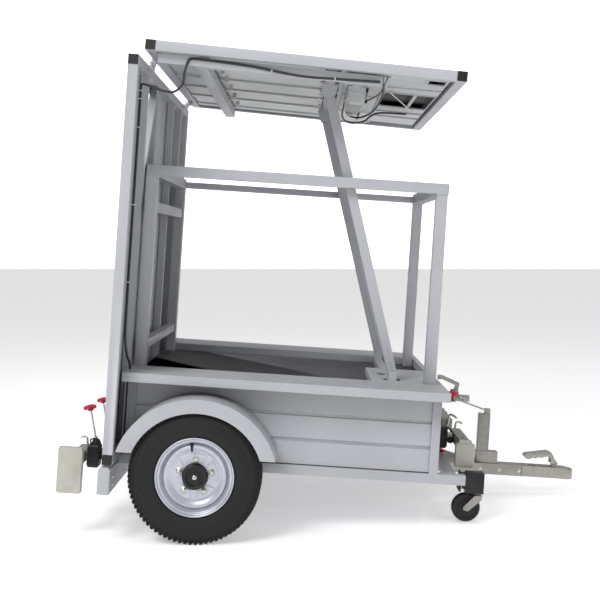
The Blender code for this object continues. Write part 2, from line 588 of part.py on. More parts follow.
def jack(body, tag, sizes, way, side):
    """One jack; its tube lies along Y when stowed and turns about X to stand down."""
    cx, z, y = sizes["axis"], sizes["z"], side * sizes["spot"]
    half_x, half_z = sizes["foot"]
    pivot = (cx, y, z)
    t0, t1 = sorted((y - side * 0.13, y + side * 0.24))
    shell = box(cx - 0.03, cx + 0.03, t0, t1, z - 0.03, z + 0.03)
    boss = rod((sizes["face"] + way * GAP, y, z), (cx, y, z), 0.026, 24)
    socket = box(cx - 0.0258, cx + 0.0258, *sorted((y - side * 0.11, y + side * 0.30)), z - 0.0258,
                 z + 0.0258)
    piece("jack_tube_" + tag, "galvanised", body, [shell, boss], [socket], pivot)
    f = y + side * 0.262
    leg = [box(cx - 0.025, cx + 0.025, *sorted((y - side * 0.10, f)), z - 0.025, z + 0.025)]
    fz, c = z + sizes["drop"], 0.007
    outline = [(cx - half_x, fz - half_z + c), (cx - half_x + c, fz - half_z),
               (cx + half_x - c, fz - half_z),
               (cx + half_x, fz - half_z + c), (cx + half_x, fz + half_z - c),
                   (cx + half_x - c, fz + half_z),
               (cx - half_x + c, fz + half_z), (cx - half_x, fz + half_z - c)]
    leg.append(prism(outline, "y", *sorted((f - side * 0.004, f + side * 0.022))))
    piece("jack_leg_" + tag, "galvanised", body, leg, (), pivot)
    end_y = y - side * 0.1305
    arm_y, grip_y = end_y - side * 0.028, end_y - side * 0.075
    crank = [rod((cx, end_y, z), (cx, end_y - side * 0.035, z), 0.009, 12)]
    crank.append(rod((cx, arm_y, z), (cx + way * 0.008, arm_y, z + 0.062), 0.006, 12))
    crank.append(rod((cx + way * 0.006, arm_y, z + 0.060), (cx + way * 0.045, grip_y, z + 0.048), 0.007,
                     12))
    piece("jack_crank_" + tag, "steel", body, crank, (), (cx, end_y, z))


# ---------------------------------------------------------------- cables
def cable(name, parent, points, radius):
    """A round lead through the given points, with filled ends."""
    curve = bpy.data.curves.new(name, "CURVE")
    curve.dimensions = "3D"
    curve.bevel_depth = radius
    curve.bevel_resolution = 2
    curve.use_fill_caps = True
    line = curve.splines.new("POLY")
    line.points.add(len(points) - 1)
    for target, p in zip(line.points, points):
        target.co = (*p, 1)
    obj = bpy.data.objects.new(name, curve)
    bpy.context.scene.collection.objects.link(obj)
    graph = bpy.context.evaluated_depsgraph_get()
    mesh = bpy.data.meshes.new_from_object(obj.evaluated_get(graph))
    bpy.data.objects.remove(obj)
    solid = bpy.data.objects.new(name, mesh)
    bpy.context.scene.collection.objects.link(solid)
    mesh.materials.clear()
    mesh.materials.append(material("cable"))
    solid.parent = parent
    return solid


def smooth(points, per_leg):
    """Catmull-Rom points through the given ones."""
    pts = [Vector(points[0])] + [Vector(p) for p in points] + [Vector(points[-1])]
    out = []
    for k in range(1, len(pts) - 2):
        a, b, c, d = pts[k - 1:k + 3]
        for i in range(per_leg):
            t = i / per_leg
            out.append(0.5 * ((2 * b) + (c - a) * t + (2 * a - 5 * b + 4 * c - d) * t * t
                              + (3 * b - a - 3 * c + d) * t * t * t))
    out.append(pts[-2])
    return out


def cables(body, fold):
    r = 0.006
    upper = smooth([(1.14, -1.0525, -0.012), (0.95, -1.0525, -0.019), (0.76, -1.0525, -0.023),
                    (0.51, -1.0525, 0.000),
                    (0.262, -1.0525, 0.008)], 6)
    cable("cable_upper", fold, upper + [Vector((0.2445, -1.0525, 0.008))], r)
    turn = Matrix.Rotation(FOLD_SLOPE, 4, "Y")
    start = Vector(FOLD_AT) + turn @ Vector((0.2436, -1.0525, 0.008))
    after = Vector(FOLD_AT) + turn @ Vector((0.225, -1.0525, 0.006))
    loop = smooth([after, (-0.165, -1.0525, 2.015), (-0.180, -1.0525, 1.960), (-0.188, -1.045, 1.900),
                   (-0.234, -1.03, 1.862), (-0.317, -1.025, 1.874), (-0.372, -1.022, 1.892),
                   (-0.390, -1.02, 1.888)], 6)
    cable("cable_loop", body, [start] + loop + [Vector((-0.3915, -1.02, 1.880))], r)
    lower = smooth([(-0.392, -1.02, 1.86), (-0.392, -1.02, 1.70), (-0.392, -1.02, 1.30),
                    (-0.392, -1.02, 0.90),
                    (-0.391, -1.01, 0.66), (-0.386, -0.96, 0.56), (-0.380, -0.90, 0.515),
                   (-0.376, -0.885, 0.485)], 6)
    lower = [Vector((-0.392, -1.02, 1.8785))] + lower
    cable("cable_lower", body, lower, r)


def main():
    for obj in list(bpy.data.objects):
        bpy.data.objects.remove(obj)
    body = empty("body_frame", (AXLE_X, 0, TYRE_R), NOSE_DOWN)
    fold = empty("fold_axis", FOLD_AT, FOLD_SLOPE, body)
    chassis_frame(body)
    tray_floor(body)
    side_wall(body, "side_wall_near", -1)
    side_wall(body, "side_wall_far", 1)
    front_wall(body)
    top_shelf(body)
    deck_plate(body)
    cage_frame(body)
    axle_beam(body)
    for side, tag in ((-1, "near"), (1, "far")):
        tyre(body, "tyre_" + tag, side)
        rim(body, "rim_" + tag, side)
        hub(body, "hub_" + tag, side)
        fender(body, "fender_" + tag, side)
    drawbar(body)
    coupling_head(body)
    coupling_handle(body)
    drawbar_post(body)
    front_lock(body)
    caster(body)
    lower_board(body)
    upper_board(fold)
    upper_gear(fold)
    props(body)
    rear_bar(body)
    jacks(body)
    cables(body, fold)


main()
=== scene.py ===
# %% [markdown]
# # A folding arrow board trailer
# This script dresses a finished mechanical frame: every moving body already exists, and each piece made
# here rides on one of them. Pieces are written in the trailer's own level coordinates and then tipped
# with the trailer, because it stands a few degrees nose down on its small front wheel.

import json
import math

import bmesh
import bpy
from mathutils import Matrix, Vector


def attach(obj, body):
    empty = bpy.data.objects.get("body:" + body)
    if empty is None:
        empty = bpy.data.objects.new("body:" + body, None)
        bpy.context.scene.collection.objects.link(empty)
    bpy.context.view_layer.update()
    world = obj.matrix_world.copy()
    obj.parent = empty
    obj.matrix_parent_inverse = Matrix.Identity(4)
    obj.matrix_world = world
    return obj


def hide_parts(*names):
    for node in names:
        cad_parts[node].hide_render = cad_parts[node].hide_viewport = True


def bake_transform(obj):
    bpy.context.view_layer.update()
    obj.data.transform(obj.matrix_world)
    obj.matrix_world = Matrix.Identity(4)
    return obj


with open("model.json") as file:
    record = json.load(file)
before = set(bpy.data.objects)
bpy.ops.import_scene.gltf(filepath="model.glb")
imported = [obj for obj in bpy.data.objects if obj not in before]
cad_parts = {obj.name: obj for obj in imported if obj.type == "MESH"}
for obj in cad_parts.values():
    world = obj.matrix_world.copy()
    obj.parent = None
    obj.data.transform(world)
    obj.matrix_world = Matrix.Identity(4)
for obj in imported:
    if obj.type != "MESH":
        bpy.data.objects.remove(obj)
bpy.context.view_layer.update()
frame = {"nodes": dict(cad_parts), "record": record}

NOSE_DOWN = math.radians(3.76)
AXLE = Vector((-0.69785, 0, 0.325))
BODY = Matrix.Translation(AXLE) @ Matrix.Rotation(NOSE_DOWN, 4, "Y")
FOLD = BODY @ Matrix.Translation((-0.3754, 0, 2.028)) @ Matrix.Rotation(math.radians(2.1), 4, "Y")
HALF_W = 1.1
body_of_node = {n: b for b, ns in frame["record"]["behaviour"]["bodies"].items() for n in ns}

# %% [markdown]
# ## Camera
# A long lens at eye height, level, looking square at the trailer's side, with the view slid down and
# across by lens shift so that upright lines stay upright.

# %% Camera
camera = bpy.data.objects.new("camera", bpy.data.cameras.new("camera"))
bpy.context.scene.collection.objects.link(camera)
camera.location = (-0.15065, -6.3093, 1.4492)
camera.rotation_euler = (math.radians(90), 0, 0)
camera.data.sensor_width = 36
camera.data.lens = 64.8
camera.data.shift_x = -0.0125
camera.data.shift_y = -0.0913
bpy.context.scene.camera = camera
print("camera at", tuple(camera.location))

# %% [markdown]
# ## Materials
# Each surface is a Principled shader with a little procedural unevenness: a colour drift, a roughness
# drift and a fine bump, all laid out in metres on object coordinates so that they keep their real scale.


# %% Material helpers
def rgb(hex_colour):
    """An sRGB hex colour as linear values with alpha."""
    parts = [int(hex_colour[i:i + 2], 16) / 255 for i in (1, 3, 5)]
    return [p / 12.92 if p <= 0.04045 else ((p + 0.055) / 1.055) ** 2.4 for p in parts] + [1.0]


def add(tree, kind, links=None, **values):
    """One node, with its input values and links given by socket name."""
    node = tree.nodes.new(kind)
    for name, value in values.items():
        if hasattr(node, name):
            setattr(node, name, value)
        else:
            node.inputs[name.replace("_", " ")].default_value = value
    for name, source in (links or {}).items():
        tree.links.new(source, node.inputs[name])
    return node


def surface(name, colour, rough, metal=0.0, drift=None, grain=None, coat=0.0):
    """A procedural material. drift is (scale, second colour, share), grain is (scale, depth in metres)."""
    mat = bpy.data.materials.new(name)
    mat.use_nodes = True
    tree = mat.node_tree
    shader = tree.nodes["Principled BSDF"]
    shader.inputs["Base Color"].default_value = rgb(colour)
    shader.inputs["Metallic"].default_value = metal
    shader.inputs["Roughness"].default_value = rough
    shader.inputs["Coat Weight"].default_value = coat
    where = add(tree, "ShaderNodeTexCoord").outputs["Object"]
    if drift:
        scale, second, share = drift
        cloud = add(tree, "ShaderNodeTexNoise", {"Vector": where}, Scale=scale, Detail=5.0, Roughness=0.6)
        ramp = add(tree, "ShaderNodeMapRange", {"Value": cloud.outputs["Fac"]})
        ramp.inputs["From Min"].default_value = 0.45
        ramp.inputs["From Max"].default_value = 0.75
        ramp.inputs["To Max"].default_value = share
        mix = add(tree, "ShaderNodeMix", {"Factor": ramp.outputs["Result"]}, data_type="RGBA")
        for a, b in (("A", colour), ("B", second)):
            for socket in mix.inputs:
                if socket.name == a and socket.type == "RGBA":
                    socket.default_value = rgb(b)
        out = [s for s in mix.outputs if s.type == "RGBA"][0]
        tree.links.new(out, shader.inputs["Base Color"])
        sheen = add(tree, "ShaderNodeMapRange", {"Value": cloud.outputs["Fac"]})
        sheen.inputs["To Min"].default_value = max(rough - 0.08, 0.02)
        sheen.inputs["To Max"].default_value = min(rough + 0.12, 1.0)
        tree.links.new(sheen.outputs["Result"], shader.inputs["Roughness"])
    if grain:
        scale, depth = grain
        peel = add(tree, "ShaderNodeTexNoise", {"Vector": where}, Scale=scale, Detail=3.0)
        bump = add(tree, "ShaderNodeBump", {"Height": peel.outputs["Fac"]}, Distance=depth, Strength=0.6)
        tree.links.new(bump.outputs["Normal"], shader.inputs["Normal"])
    return mat


def spangled(name, colour, second, rough):
    """Hot-dip zinc: metal with a pattern of flat crystals, each a little lighter or darker."""
    mat = surface(name, colour, rough, 0.7, grain=(140, 0.0003))
    tree = mat.node_tree
    shader = tree.nodes["Principled BSDF"]
    where = add(tree, "ShaderNodeTexCoord").outputs["Object"]
    cells = add(tree, "ShaderNodeTexVoronoi", {"Vector": where}, Scale=170.0)
    tone = add(tree, "ShaderNodeSeparateColor", {"Color": cells.outputs["Color"]})
    mix = add(tree, "ShaderNodeMix", {"Factor": tone.outputs["Red"]}, data_type="RGBA")
    for socket in mix.inputs:
        if socket.type == "RGBA":
            socket.default_value = rgb(colour if socket.name == "A" else second)
    tree.links.new([s for s in mix.outputs if s.type == "RGBA"][0], shader.inputs["Base Color"])
    return mat


# %% Materials used on the trailer
# Powder coat: satin, with faint orange peel.
paint = surface("grey_powder_coat", "#AEB0B6", 0.42, drift=(3.0, "#A3A4A9", 0.6), grain=(700, 0.0003), coat=0.1)
# Hot-dip zinc: dull and mottled, with flat crystals.
zinc = spangled("galvanised_zinc", "#A9A69F", "#9A9791", 0.45)
# Tyre rubber: nearly black and matt, with a fine grain.
rubber = surface("tyre_rubber", "#0C0D0E", 0.72, drift=(30, "#171819", 0.5), grain=(900, 0.0004))
# Wheel lacquer: metal flake under a smooth film, brighter than the paint.
silver = surface("silver_wheel_lacquer", "#BFC2CC", 0.33, 0.55, drift=(14, "#A8ABB6", 0.5), grain=(900, 0.0001))
# Black powder coat: satin, so edges catch a thin line of light.
black_coat = surface("black_powder_coat", "#090A0B", 0.42, drift=(20, "#101112", 0.6), grain=(800, 0.0003))
# Moulded plugs: black, softer than the coat.
black_plastic = surface("black_plastic", "#0C0D0E", 0.48, drift=(40, "#141516", 0.6), grain=(600, 0.0002))
# Solid rubber: a touch lighter than the tyres.
wheel_rubber = surface("solid_caster_rubber", "#0F0F12", 0.6, drift=(40, "#1A1A1D", 0.5), grain=(500, 0.0003))
# Moulded knobs: strong red with a soft gloss.
red = surface("red_moulded_plastic", "#B0173C", 0.35, drift=(60, "#8E1030", 0.5), grain=(900, 0.0001))
# Bright zinc plate: small sharp highlights on bolts and rivets.
plated = surface("bright_zinc_plate", "#C9C8C2", 0.25, 1.0, drift=(50, "#A9A8A2", 0.6), grain=(900, 0.0001))
# Cable sheath: dark grey, slightly soft.
sheath = surface("cable_sheath", "#26272A", 0.55, drift=(40, "#303134", 0.6), grain=(700, 0.0001))
# Mill aluminium: pale, with a broad soft shine and faint clouding.
mill = surface("mill_aluminium", "#BFC1C2", 0.42, 0.5, drift=(5, "#AEB1B2", 0.7), grain=(250, 0.0002))
# Sign face: matt and dark, so that lamps stand out.
dark_face = surface("dark_sign_face", "#1C1D1F", 0.6, drift=(8, "#2A2B2D", 0.6), grain=(500, 0.0002))
# Lens: clear gloss over amber.
amber = surface("amber_lens", "#E08A1A", 0.15, drift=(80, "#C87010", 0.5), grain=(400, 0.0003), coat=0.5)
# Nylon ties: off-white.
white_tie = surface("white_nylon", "#D9D8D2", 0.45, drift=(80, "#C2C1BB", 0.6), grain=(700, 0.0001))
by_slot = {
    "grey_paint": paint, "galvanised": zinc, "tyre": rubber, "rim_silver": silver, "black_plastic": wheel_rubber,
    "black_paint": black_coat, "red_plastic": red, "cable": sheath, "silver_sheet": mill, "sign_face": dark_face,
    "steel": plated,
}
slot_of = {s["node"]: s["material_slot"] for s in frame["record"]["subparts"]}
for name, obj in frame["nodes"].items():
    obj.data.materials.clear()
    obj.data.materials.append(by_slot[slot_of[name]])
print("materials", len(bpy.data.materials))


# %% [markdown]
# ## Mesh helpers
# Three small makers cover most hardware: a flat outline pushed along an axis, an outline turned round an
# axis, and a round bar through a row of points. A narrow bevel on every edge catches the light the way
# folded sheet and drawn tube do.


# %% Mesh helpers
def closed(bm):
    bmesh.ops.recalc_face_normals(bm, faces=bm.faces)
    if bm.calc_volume(signed=True) < 0:
        bmesh.ops.reverse_faces(bm, faces=bm.faces)
    return bm


def prism(outline, axis, start, end):
    bm = bmesh.new()
    place = {"x": lambda p, t: (t, *p), "y": lambda p, t: (p[0], t, p[1]), "z": lambda p, t: (*p, t)}[axis]
    low = [bm.verts.new(place(p, start)) for p in outline]
    high = [bm.verts.new(place(p, end)) for p in outline]
    bm.faces.new(low)
    bm.faces.new(high[::-1])
    for i in range(len(outline)):
        j = (i + 1) % len(outline)
        bm.faces.new((low[i], high[i], high[j], low[j]))
    return closed(bm)


def box(x0, x1, y0, y1, z0, z1):
    return prism([(x0, y0), (x1, y0), (x1, y1), (x0, y1)], "z", z0, z1)


def turned(profile, sides, centre=(0, 0, 0), axis="y"):
    """A closed outline of (radius, height) points turned round an axis through centre."""
    bm = bmesh.new()
    rings = []
    for k in range(sides):
        a = 2 * math.pi * k / sides
        ring = []
        for r, h in profile:
            u, v = r * math.cos(a), r * math.sin(a)
            ring.append(bm.verts.new(Vector({"x": (h, u, v), "y": (u, h, v),
                    "z": (u, v, h)}[axis]) + Vector(centre)))
        rings.append(ring)
    for k in range(sides):
        near, far = rings[k], rings[(k + 1) % sides]
        for i in range(len(profile)):
            j = (i + 1) % len(profile)
            bm.faces.new((near[i], near[j], far[j], far[i]))
    bmesh.ops.remove_doubles(bm, verts=bm.verts, dist=1e-6)
    return closed(bm)


def rod(start, end, radius, sides=24):
    a, b = Vector(start), Vector(end)
    bm = bmesh.new()
    bmesh.ops.create_cone(bm, cap_ends=True, segments=sides, radius1=radius, radius2=radius,
            depth=(b - a).length)
    bm.transform(Matrix.Translation((a + b) / 2) @ (b - a).to_track_quat("Z", "Y").to_matrix().to_4x4())
    return closed(bm)


def merged(parts):
    """Several solids as one mesh."""
    out = bmesh.new()
    for bm in parts:
        mesh = bpy.data.meshes.new("part")
        bm.to_mesh(mesh)
        bm.free()
        out.from_mesh(mesh)
        bpy.data.meshes.remove(mesh)
    return out


def settle(obj):
    """Replace obj's mesh by its evaluated one and drop the modifiers."""
    graph = bpy.context.evaluated_depsgraph_get()
    mesh = bpy.data.meshes.new_from_object(obj.evaluated_get(graph))
    obj.modifiers.clear()
    obj.data = mesh
    return obj


def finished(name, bm, space, body, mat, bevel=0.0, nodes=(), angle=35, segments=2):
    """A piece in the row frame: bevelled, shaded, painted and riding on its body."""
    bm.transform(space)
    mesh = bpy.data.meshes.new(name)
    bm.to_mesh(mesh)
    bm.free()
    obj = bpy.data.objects.new(name, mesh)
    bpy.context.scene.collection.objects.link(obj)
    if bevel:
        step = obj.modifiers.new("edges", "BEVEL")
        step.width = bevel
        step.segments = segments
        step.limit_method = "ANGLE"
        step.angle_limit = math.radians(30)
        step.harden_normals = True
        for p in mesh.polygons:
            p.use_smooth = True
        settle(obj)
    else:
        for p in obj.data.polygons:
            p.use_smooth = True
        obj.data.set_sharp_from_angle(angle=math.radians(angle))
    obj.data.materials.clear()
    obj.data.materials.append(mat)
    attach(obj, body)
    if nodes:
        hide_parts(*nodes)
    return obj


# %% [markdown]
# ## Repeats with Geometry Nodes
# Lamps, rivets, nuts, tread blocks and weld ripples are the same small item over and over. One node
# group places an item Count times: each copy is moved by Step, turned by Turn about the trailer's or
# wheel's centre, and may be spun a little about itself so that bolt heads don't all line up.


# %% The repeat node group
def repeat_group():
    tree = bpy.data.node_groups.new("repeat_item", "GeometryNodeTree")
    sockets = (("Item", "Geometry"), ("Count", "Int"), ("Start", "Vector"), ("Step", "Vector"),
            ("Turn", "Vector"),
            ("Spin", "Vector"), ("Seed", "Int"), ("Material", "Material"))
    for name, kind in sockets:
        tree.interface.new_socket(name, in_out="INPUT", socket_type="NodeSocket" + kind)
    tree.interface.new_socket("Geometry", in_out="OUTPUT", socket_type="NodeSocketGeometry")
    given = add(tree, "NodeGroupInput").outputs
    index = add(tree, "GeometryNodeInputIndex").outputs["Index"]
    turn = add(tree, "ShaderNodeVectorMath", {"Vector": given["Turn"], "Scale": index}, operation="SCALE")
    step = add(tree, "ShaderNodeVectorMath", {"Vector": given["Step"], "Scale": index}, operation="SCALE")
    start = add(tree, "ShaderNodeVectorRotate", {"Vector": given["Start"], "Rotation": turn.outputs["Vector"]},
            rotation_type="EULER_XYZ")
    place = add(tree, "ShaderNodeVectorMath", operation="ADD")
    tree.links.new(start.outputs["Vector"], place.inputs[0])
    tree.links.new(step.outputs["Vector"], place.inputs[1])
    points = add(tree, "GeometryNodePoints", {"Count": given["Count"], "Position": place.outputs["Vector"]})
    copies = add(tree, "GeometryNodeInstanceOnPoints", {
        "Points": points.outputs[0], "Instance": given["Item"], "Rotation": turn.outputs["Vector"]})
    own = add(tree, "FunctionNodeRandomValue", {"Seed": given["Seed"]}, data_type="FLOAT_VECTOR")
    tree.links.new(given["Spin"], own.inputs["Max"])
    spun = add(tree, "GeometryNodeRotateInstances",
            {"Instances": copies.outputs[0], "Rotation": own.outputs[0]})
    real = add(tree, "GeometryNodeRealizeInstances", {"Geometry": spun.outputs[0]})
    painted = add(tree, "GeometryNodeSetMaterial", {"Geometry": real.outputs[0], "Material": given["Material"]})
    result = add(tree, "NodeGroupOutput")
    tree.links.new(painted.outputs[0], result.inputs["Geometry"])
    return tree


REPEAT = repeat_group()
INPUT_IDS = {s.name: s.identifier for s in REPEAT.interface.items_tree if s.in_out == "INPUT"}


def repeated(bm, mat, count, start=(0, 0, 0), step=(0, 0, 0), turn=(0, 0, 0), spin=(0, 0, 0), seed=1):
    """The item in bm placed count times by the node group, as one plain mesh again."""
    mesh = bpy.data.meshes.new("item")
    bm.to_mesh(mesh)
    bm.free()
    obj = bpy.data.objects.new("item", mesh)
    bpy.context.scene.collection.objects.link(obj)
    nodes = obj.modifiers.new("repeat", "NODES")
    nodes.node_group = REPEAT
    values = {"Count": count, "Start": start, "Step": step, "Turn": turn, "Spin": spin, "Seed": seed,
            "Material": mat}
    for name, value in values.items():
        if isinstance(value, tuple):
            value = [float(v) for v in value]
        nodes[INPUT_IDS[name]] = value
    settle(obj)
    out = bmesh.new()
    out.from_mesh(obj.data)
    bpy.data.objects.remove(obj)
    return out


def row(item, mat, first, last, count, spin=(0, 0, 0), seed=1):
    """Evenly spaced copies of an item centred on the origin, from one point to another."""
    a, b = Vector(first), Vector(last)
    step = (b - a) / max(count - 1, 1)
    return repeated(item, mat, count, tuple(a), tuple(step), (0, 0, 0), spin, seed)


def bolt(axis, size, washer=True):
    """Hexagon head with a washer, centred on the origin, standing out along axis."""
    sign = -1 if axis[0] == "-" else 1
    across = {"x": "x", "y": "y", "z": "z"}[axis[-1]]
    head = size * 0.42
    dome = [(0.0, sign * (head + size * 0.05)), (size * 0.40, sign * (head + size * 0.05)),
            (size * 0.54, sign * head),
            (size * 0.58, sign * head * 0.8), (size * 0.58, 0.0), (0.0, 0.0)]
    parts = [turned(dome, 6, (0, 0, 0), across)]
    if washer:
        ring = [(0.0, 0.0), (size * 0.72, 0.0), (size * 0.72, sign * size * 0.1), (0.0, sign * size * 0.1)]
        parts.append(turned(ring, 20, (0, 0, 0), across))
    return merged(parts)


def rivet(axis, radius):
    """Low round head centred on the origin, standing out along axis."""
    sign = -1 if axis[0] == "-" else 1
    dome = [(0.0, sign * radius * 0.45), (radius * 0.5, sign * radius * 0.40),
            (radius * 0.85, sign * radius * 0.2),
            (radius, 0.0), (0.0, 0.0)]
    return turned(dome, 12, (0, 0, 0), axis[-1])


def bead(first, last, across=0.0035):
    """A weld: overlapping ripples from one point to another."""
    a, b = Vector(first), Vector(last)
    drop = bmesh.new()
    bmesh.ops.create_icosphere(drop, subdivisions=1, radius=across)
    count = max(int((b - a).length / (across * 0.9)), 2)
    return row(drop, paint, first, last, count, (0.6, 0.6, 0.6), 7)


print("repeat group with", len(INPUT_IDS), "inputs")


# %% Bent tubes, knobs and plates
def tube(points, radius, sides=14, smooth=0):
    """A round bar with filled ends through the points, rounded into a curve when smooth is above 0."""
    path = [Vector(p) for p in points]
    if smooth:
        ends = [path[0]] + path + [path[-1]]
        path = []
        for k in range(1, len(ends) - 2):
            a, b, c, d = ends[k - 1:k + 3]
            for i in range(smooth):
                t = i / smooth
                path.append(0.5 * (2 * b + (c - a) * t + (2 * a - 5 * b + 4 * c - d) * t * t
                        + (3 * b - a - 3 * c + d) * t * t * t))
        path.append(ends[-2])
    bm = bmesh.new()
    side = (path[1] - path[0]).orthogonal().normalized()
    rings = []
    for k, p in enumerate(path):
        along = (path[min(k + 1, len(path) - 1)] - path[max(k - 1, 0)]).normalized()
        side = (side - along * side.dot(along)).normalized()
        up = along.cross(side)
        rings.append([bm.verts.new(p + radius * (math.cos(a) * side + math.sin(a) * up))
                for a in [2 * math.pi * i / sides for i in range(sides)]])
    for near, far in zip(rings, rings[1:]):
        for i in range(sides):
            j = (i + 1) % sides
            bm.faces.new((near[i], near[j], far[j], far[i]))
    bm.faces.new(rings[0][::-1])
    bm.faces.new(rings[-1])
    return closed(bm)


def lobed_knob(radius, depth, lobes=5):
    """A moulded star knob round Z: domed top, waisted lobes, short hub below."""
    levels = ((0.30, -0.55), (0.42, -0.50), (0.45, -0.30), (0.86, -0.22), (0.98, -0.05), (1.0, 0.12),
            (0.94, 0.30),
            (0.78, 0.42), (0.45, 0.50), (0.20, 0.46))
    sides = lobes * 12
    bm = bmesh.new()
    rings = []
    for r, h in levels:
        wave = 0.16 * max(0.0, (r - 0.4) / 0.6)
        ring = []
        for i in range(sides):
            a = 2 * math.pi * i / sides
            reach = radius * r * (1 - wave + wave * math.cos(lobes * a))
            ring.append(bm.verts.new((reach * math.cos(a), reach * math.sin(a), h * depth)))
        rings.append(ring)
    for near, far in zip(rings, rings[1:]):
        for i in range(sides):
            j = (i + 1) % sides
            bm.faces.new((near[i], near[j], far[j], far[i]))
    bm.faces.new(rings[0][::-1])
    bm.faces.new(rings[-1])
    return closed(bm)


def rounded_rect(half_a, half_b, corner, steps=5):
    """Outline of a rectangle about the origin with round corners."""
    out = []
    for k, (sa, sb) in enumerate(((1, 1), (-1, 1), (-1, -1), (1, -1))):
        for i in range(steps + 1):
            a = math.radians(90 * k + 90 * i / steps)
            out.append((sa * (half_a - corner) + corner * math.cos(a),
                    sb * (half_b - corner) + corner * math.sin(a)))
    return out


def moved(bm, place, along=None):
    """The same solid carried to place, its Z turned to point along a direction."""
    turn = Vector(along).to_track_quat("Z", "Y").to_matrix().to_4x4() if along else Matrix.Identity(4)
    bm.transform(Matrix.Translation(place) @ turn)
    return bm


print("shape makers ready")


# %% [markdown]
# ## Soft edges on the welded and folded parts
# Real tube and sheet never has a knife edge. Each plain structural node is copied, its flat faces are
# tidied, and its edges get a rounding of one or two millimetres.


# %% Rounded copies of the structural nodes
def edged(node, width):
    bm = bmesh.new()
    bm.from_mesh(frame["nodes"][node].data)
    bmesh.ops.remove_doubles(bm, verts=bm.verts, dist=2e-6)
    bmesh.ops.dissolve_limit(bm, angle_limit=math.radians(0.5), verts=bm.verts, edges=bm.edges)
    return finished(node + "_edged", bm, Matrix.Identity(4), body_of_node[node], by_slot[slot_of[node]],
            width, (node,))


ROUNDED = {
    "cage_frame": 0.003, "chassis_frame": 0.003, "lower_board_frame": 0.002, "upper_board_frame": 0.002,
    "prop_near": 0.003, "prop_far": 0.003, "drawbar": 0.004, "top_shelf": 0.002,
    "deck_plate": 0.001, "drawbar_post": 0.003, "hanging_beam": 0.002,
    "prop_base": 0.002, "coupling_head": 0.004,
    "coupling_handle": 0.004, "caster_bracket": 0.003, "fender_near": 0.001, "fender_far": 0.001,
    "front_lock_bracket": 0.002, "front_lock_lever": 0.002, "axle_beam": 0.003,
}
for node, width in ROUNDED.items():
    edged(node, width)
print("rounded", len(ROUNDED))


# %% [markdown]
# ## Road wheels
# The tyre is a turned carcass whose sidewall carries fine moulding rings; the tread is five ribs with
# blocks set round the crown. The rim is turned too: rolled lip, bead seat, a dark groove where the disc
# is welded in, and a dish pressed with five raised pads round the nuts.

# %% Tyre carcass and tread
SIDEWALL = [
    (0.1815, -0.0182), (0.1945, -0.0178), (0.1975, -0.0150), (0.1985, -0.0100), (0.2030, -0.0072),
        (0.2045, -0.0058),
    (0.2065, -0.0058), (0.2080, -0.0050), (0.2160, -0.0030), (0.2300, -0.0012), (0.2420, -0.0006),
        (0.2435, 0.0008),
    (0.2455, 0.0008), (0.2470, -0.0006), (0.2600, -0.0016), (0.2615, -0.0004), (0.2630, -0.0004),
        (0.2645, -0.0020),
    (0.2760, -0.0036), (0.2880, -0.0060), (0.2895, -0.0048), (0.2925, -0.0052), (0.2940, -0.0075),
        (0.3030, -0.0110),
    (0.3100, -0.0155), (0.3160, -0.0200), (0.3200, -0.0260), (0.3225, -0.0340),
]
WIDTH = 0.185
TREAD_BLOCKS = 78
SIDES = ((-1, "near"), (1, "far"))
TREAD_TURN = (0, math.radians(360 / TREAD_BLOCKS), 0)
NUT_TURN = (0, math.radians(72), 0)    # five wheel nuts
GROOVES = (0.052, 0.0765, 0.1085, 0.133)


def tread_outline():
    """Crown line with four straight grooves, from the outer shoulder to the inner one."""
    line = []
    for centre in GROOVES:
        line += [(0.3225, -centre + 0.0055), (0.3140, -centre + 0.0035), (0.3140, -centre - 0.0035),
                (0.3225, -centre - 0.0055)]
    return line


def road_tyre(side):
    inner = [(r, -WIDTH - h) for r, h in SIDEWALL[::-1]]
    outline = SIDEWALL + tread_outline() + inner
    carcass = turned([(r, side * (HALF_W + h)) for r, h in outline], 144, (0, 0, 0), "y")
    parts = [carcass]
    for k, y in enumerate((0.0385, 0.0642, 0.0925, 0.1208, 0.1465)):
        block = prism([(-0.0115, -0.0095), (0.0100, -0.0095), (0.0115, 0.0095), (-0.0100, 0.0095)], "z",
                0.310, 0.3247)
        parts.append(repeated(block, rubber, TREAD_BLOCKS, (0, side * (HALF_W - y), 0), (0, 0, 0),
                TREAD_TURN, (0, 0, 0), k))
    lug = prism([(-0.0075, -0.013), (0.0075, -0.013), (0.0060, 0.012), (-0.0060, 0.012)], "z", -0.0014, 0.0014)
    for edge, lean in ((0.0135, 48), (WIDTH - 0.0135, 132)):
        ribs = lug.copy()
        ribs.transform(Matrix.Translation((0, side * (HALF_W - edge), 0.3135)) @
                Matrix.Rotation(side * math.radians(90 - lean), 4, "X"))
        parts.append(repeated(ribs, rubber, TREAD_BLOCKS, (0, 0, 0), (0, 0, 0), TREAD_TURN))
    lug.free()
    return merged(parts)


for side, tag in SIDES:
    finished("road_tyre_" + tag, road_tyre(side), BODY, "wheel_" + tag, rubber, nodes=("tyre_" + tag,),
            angle=40)
print("tyres done")

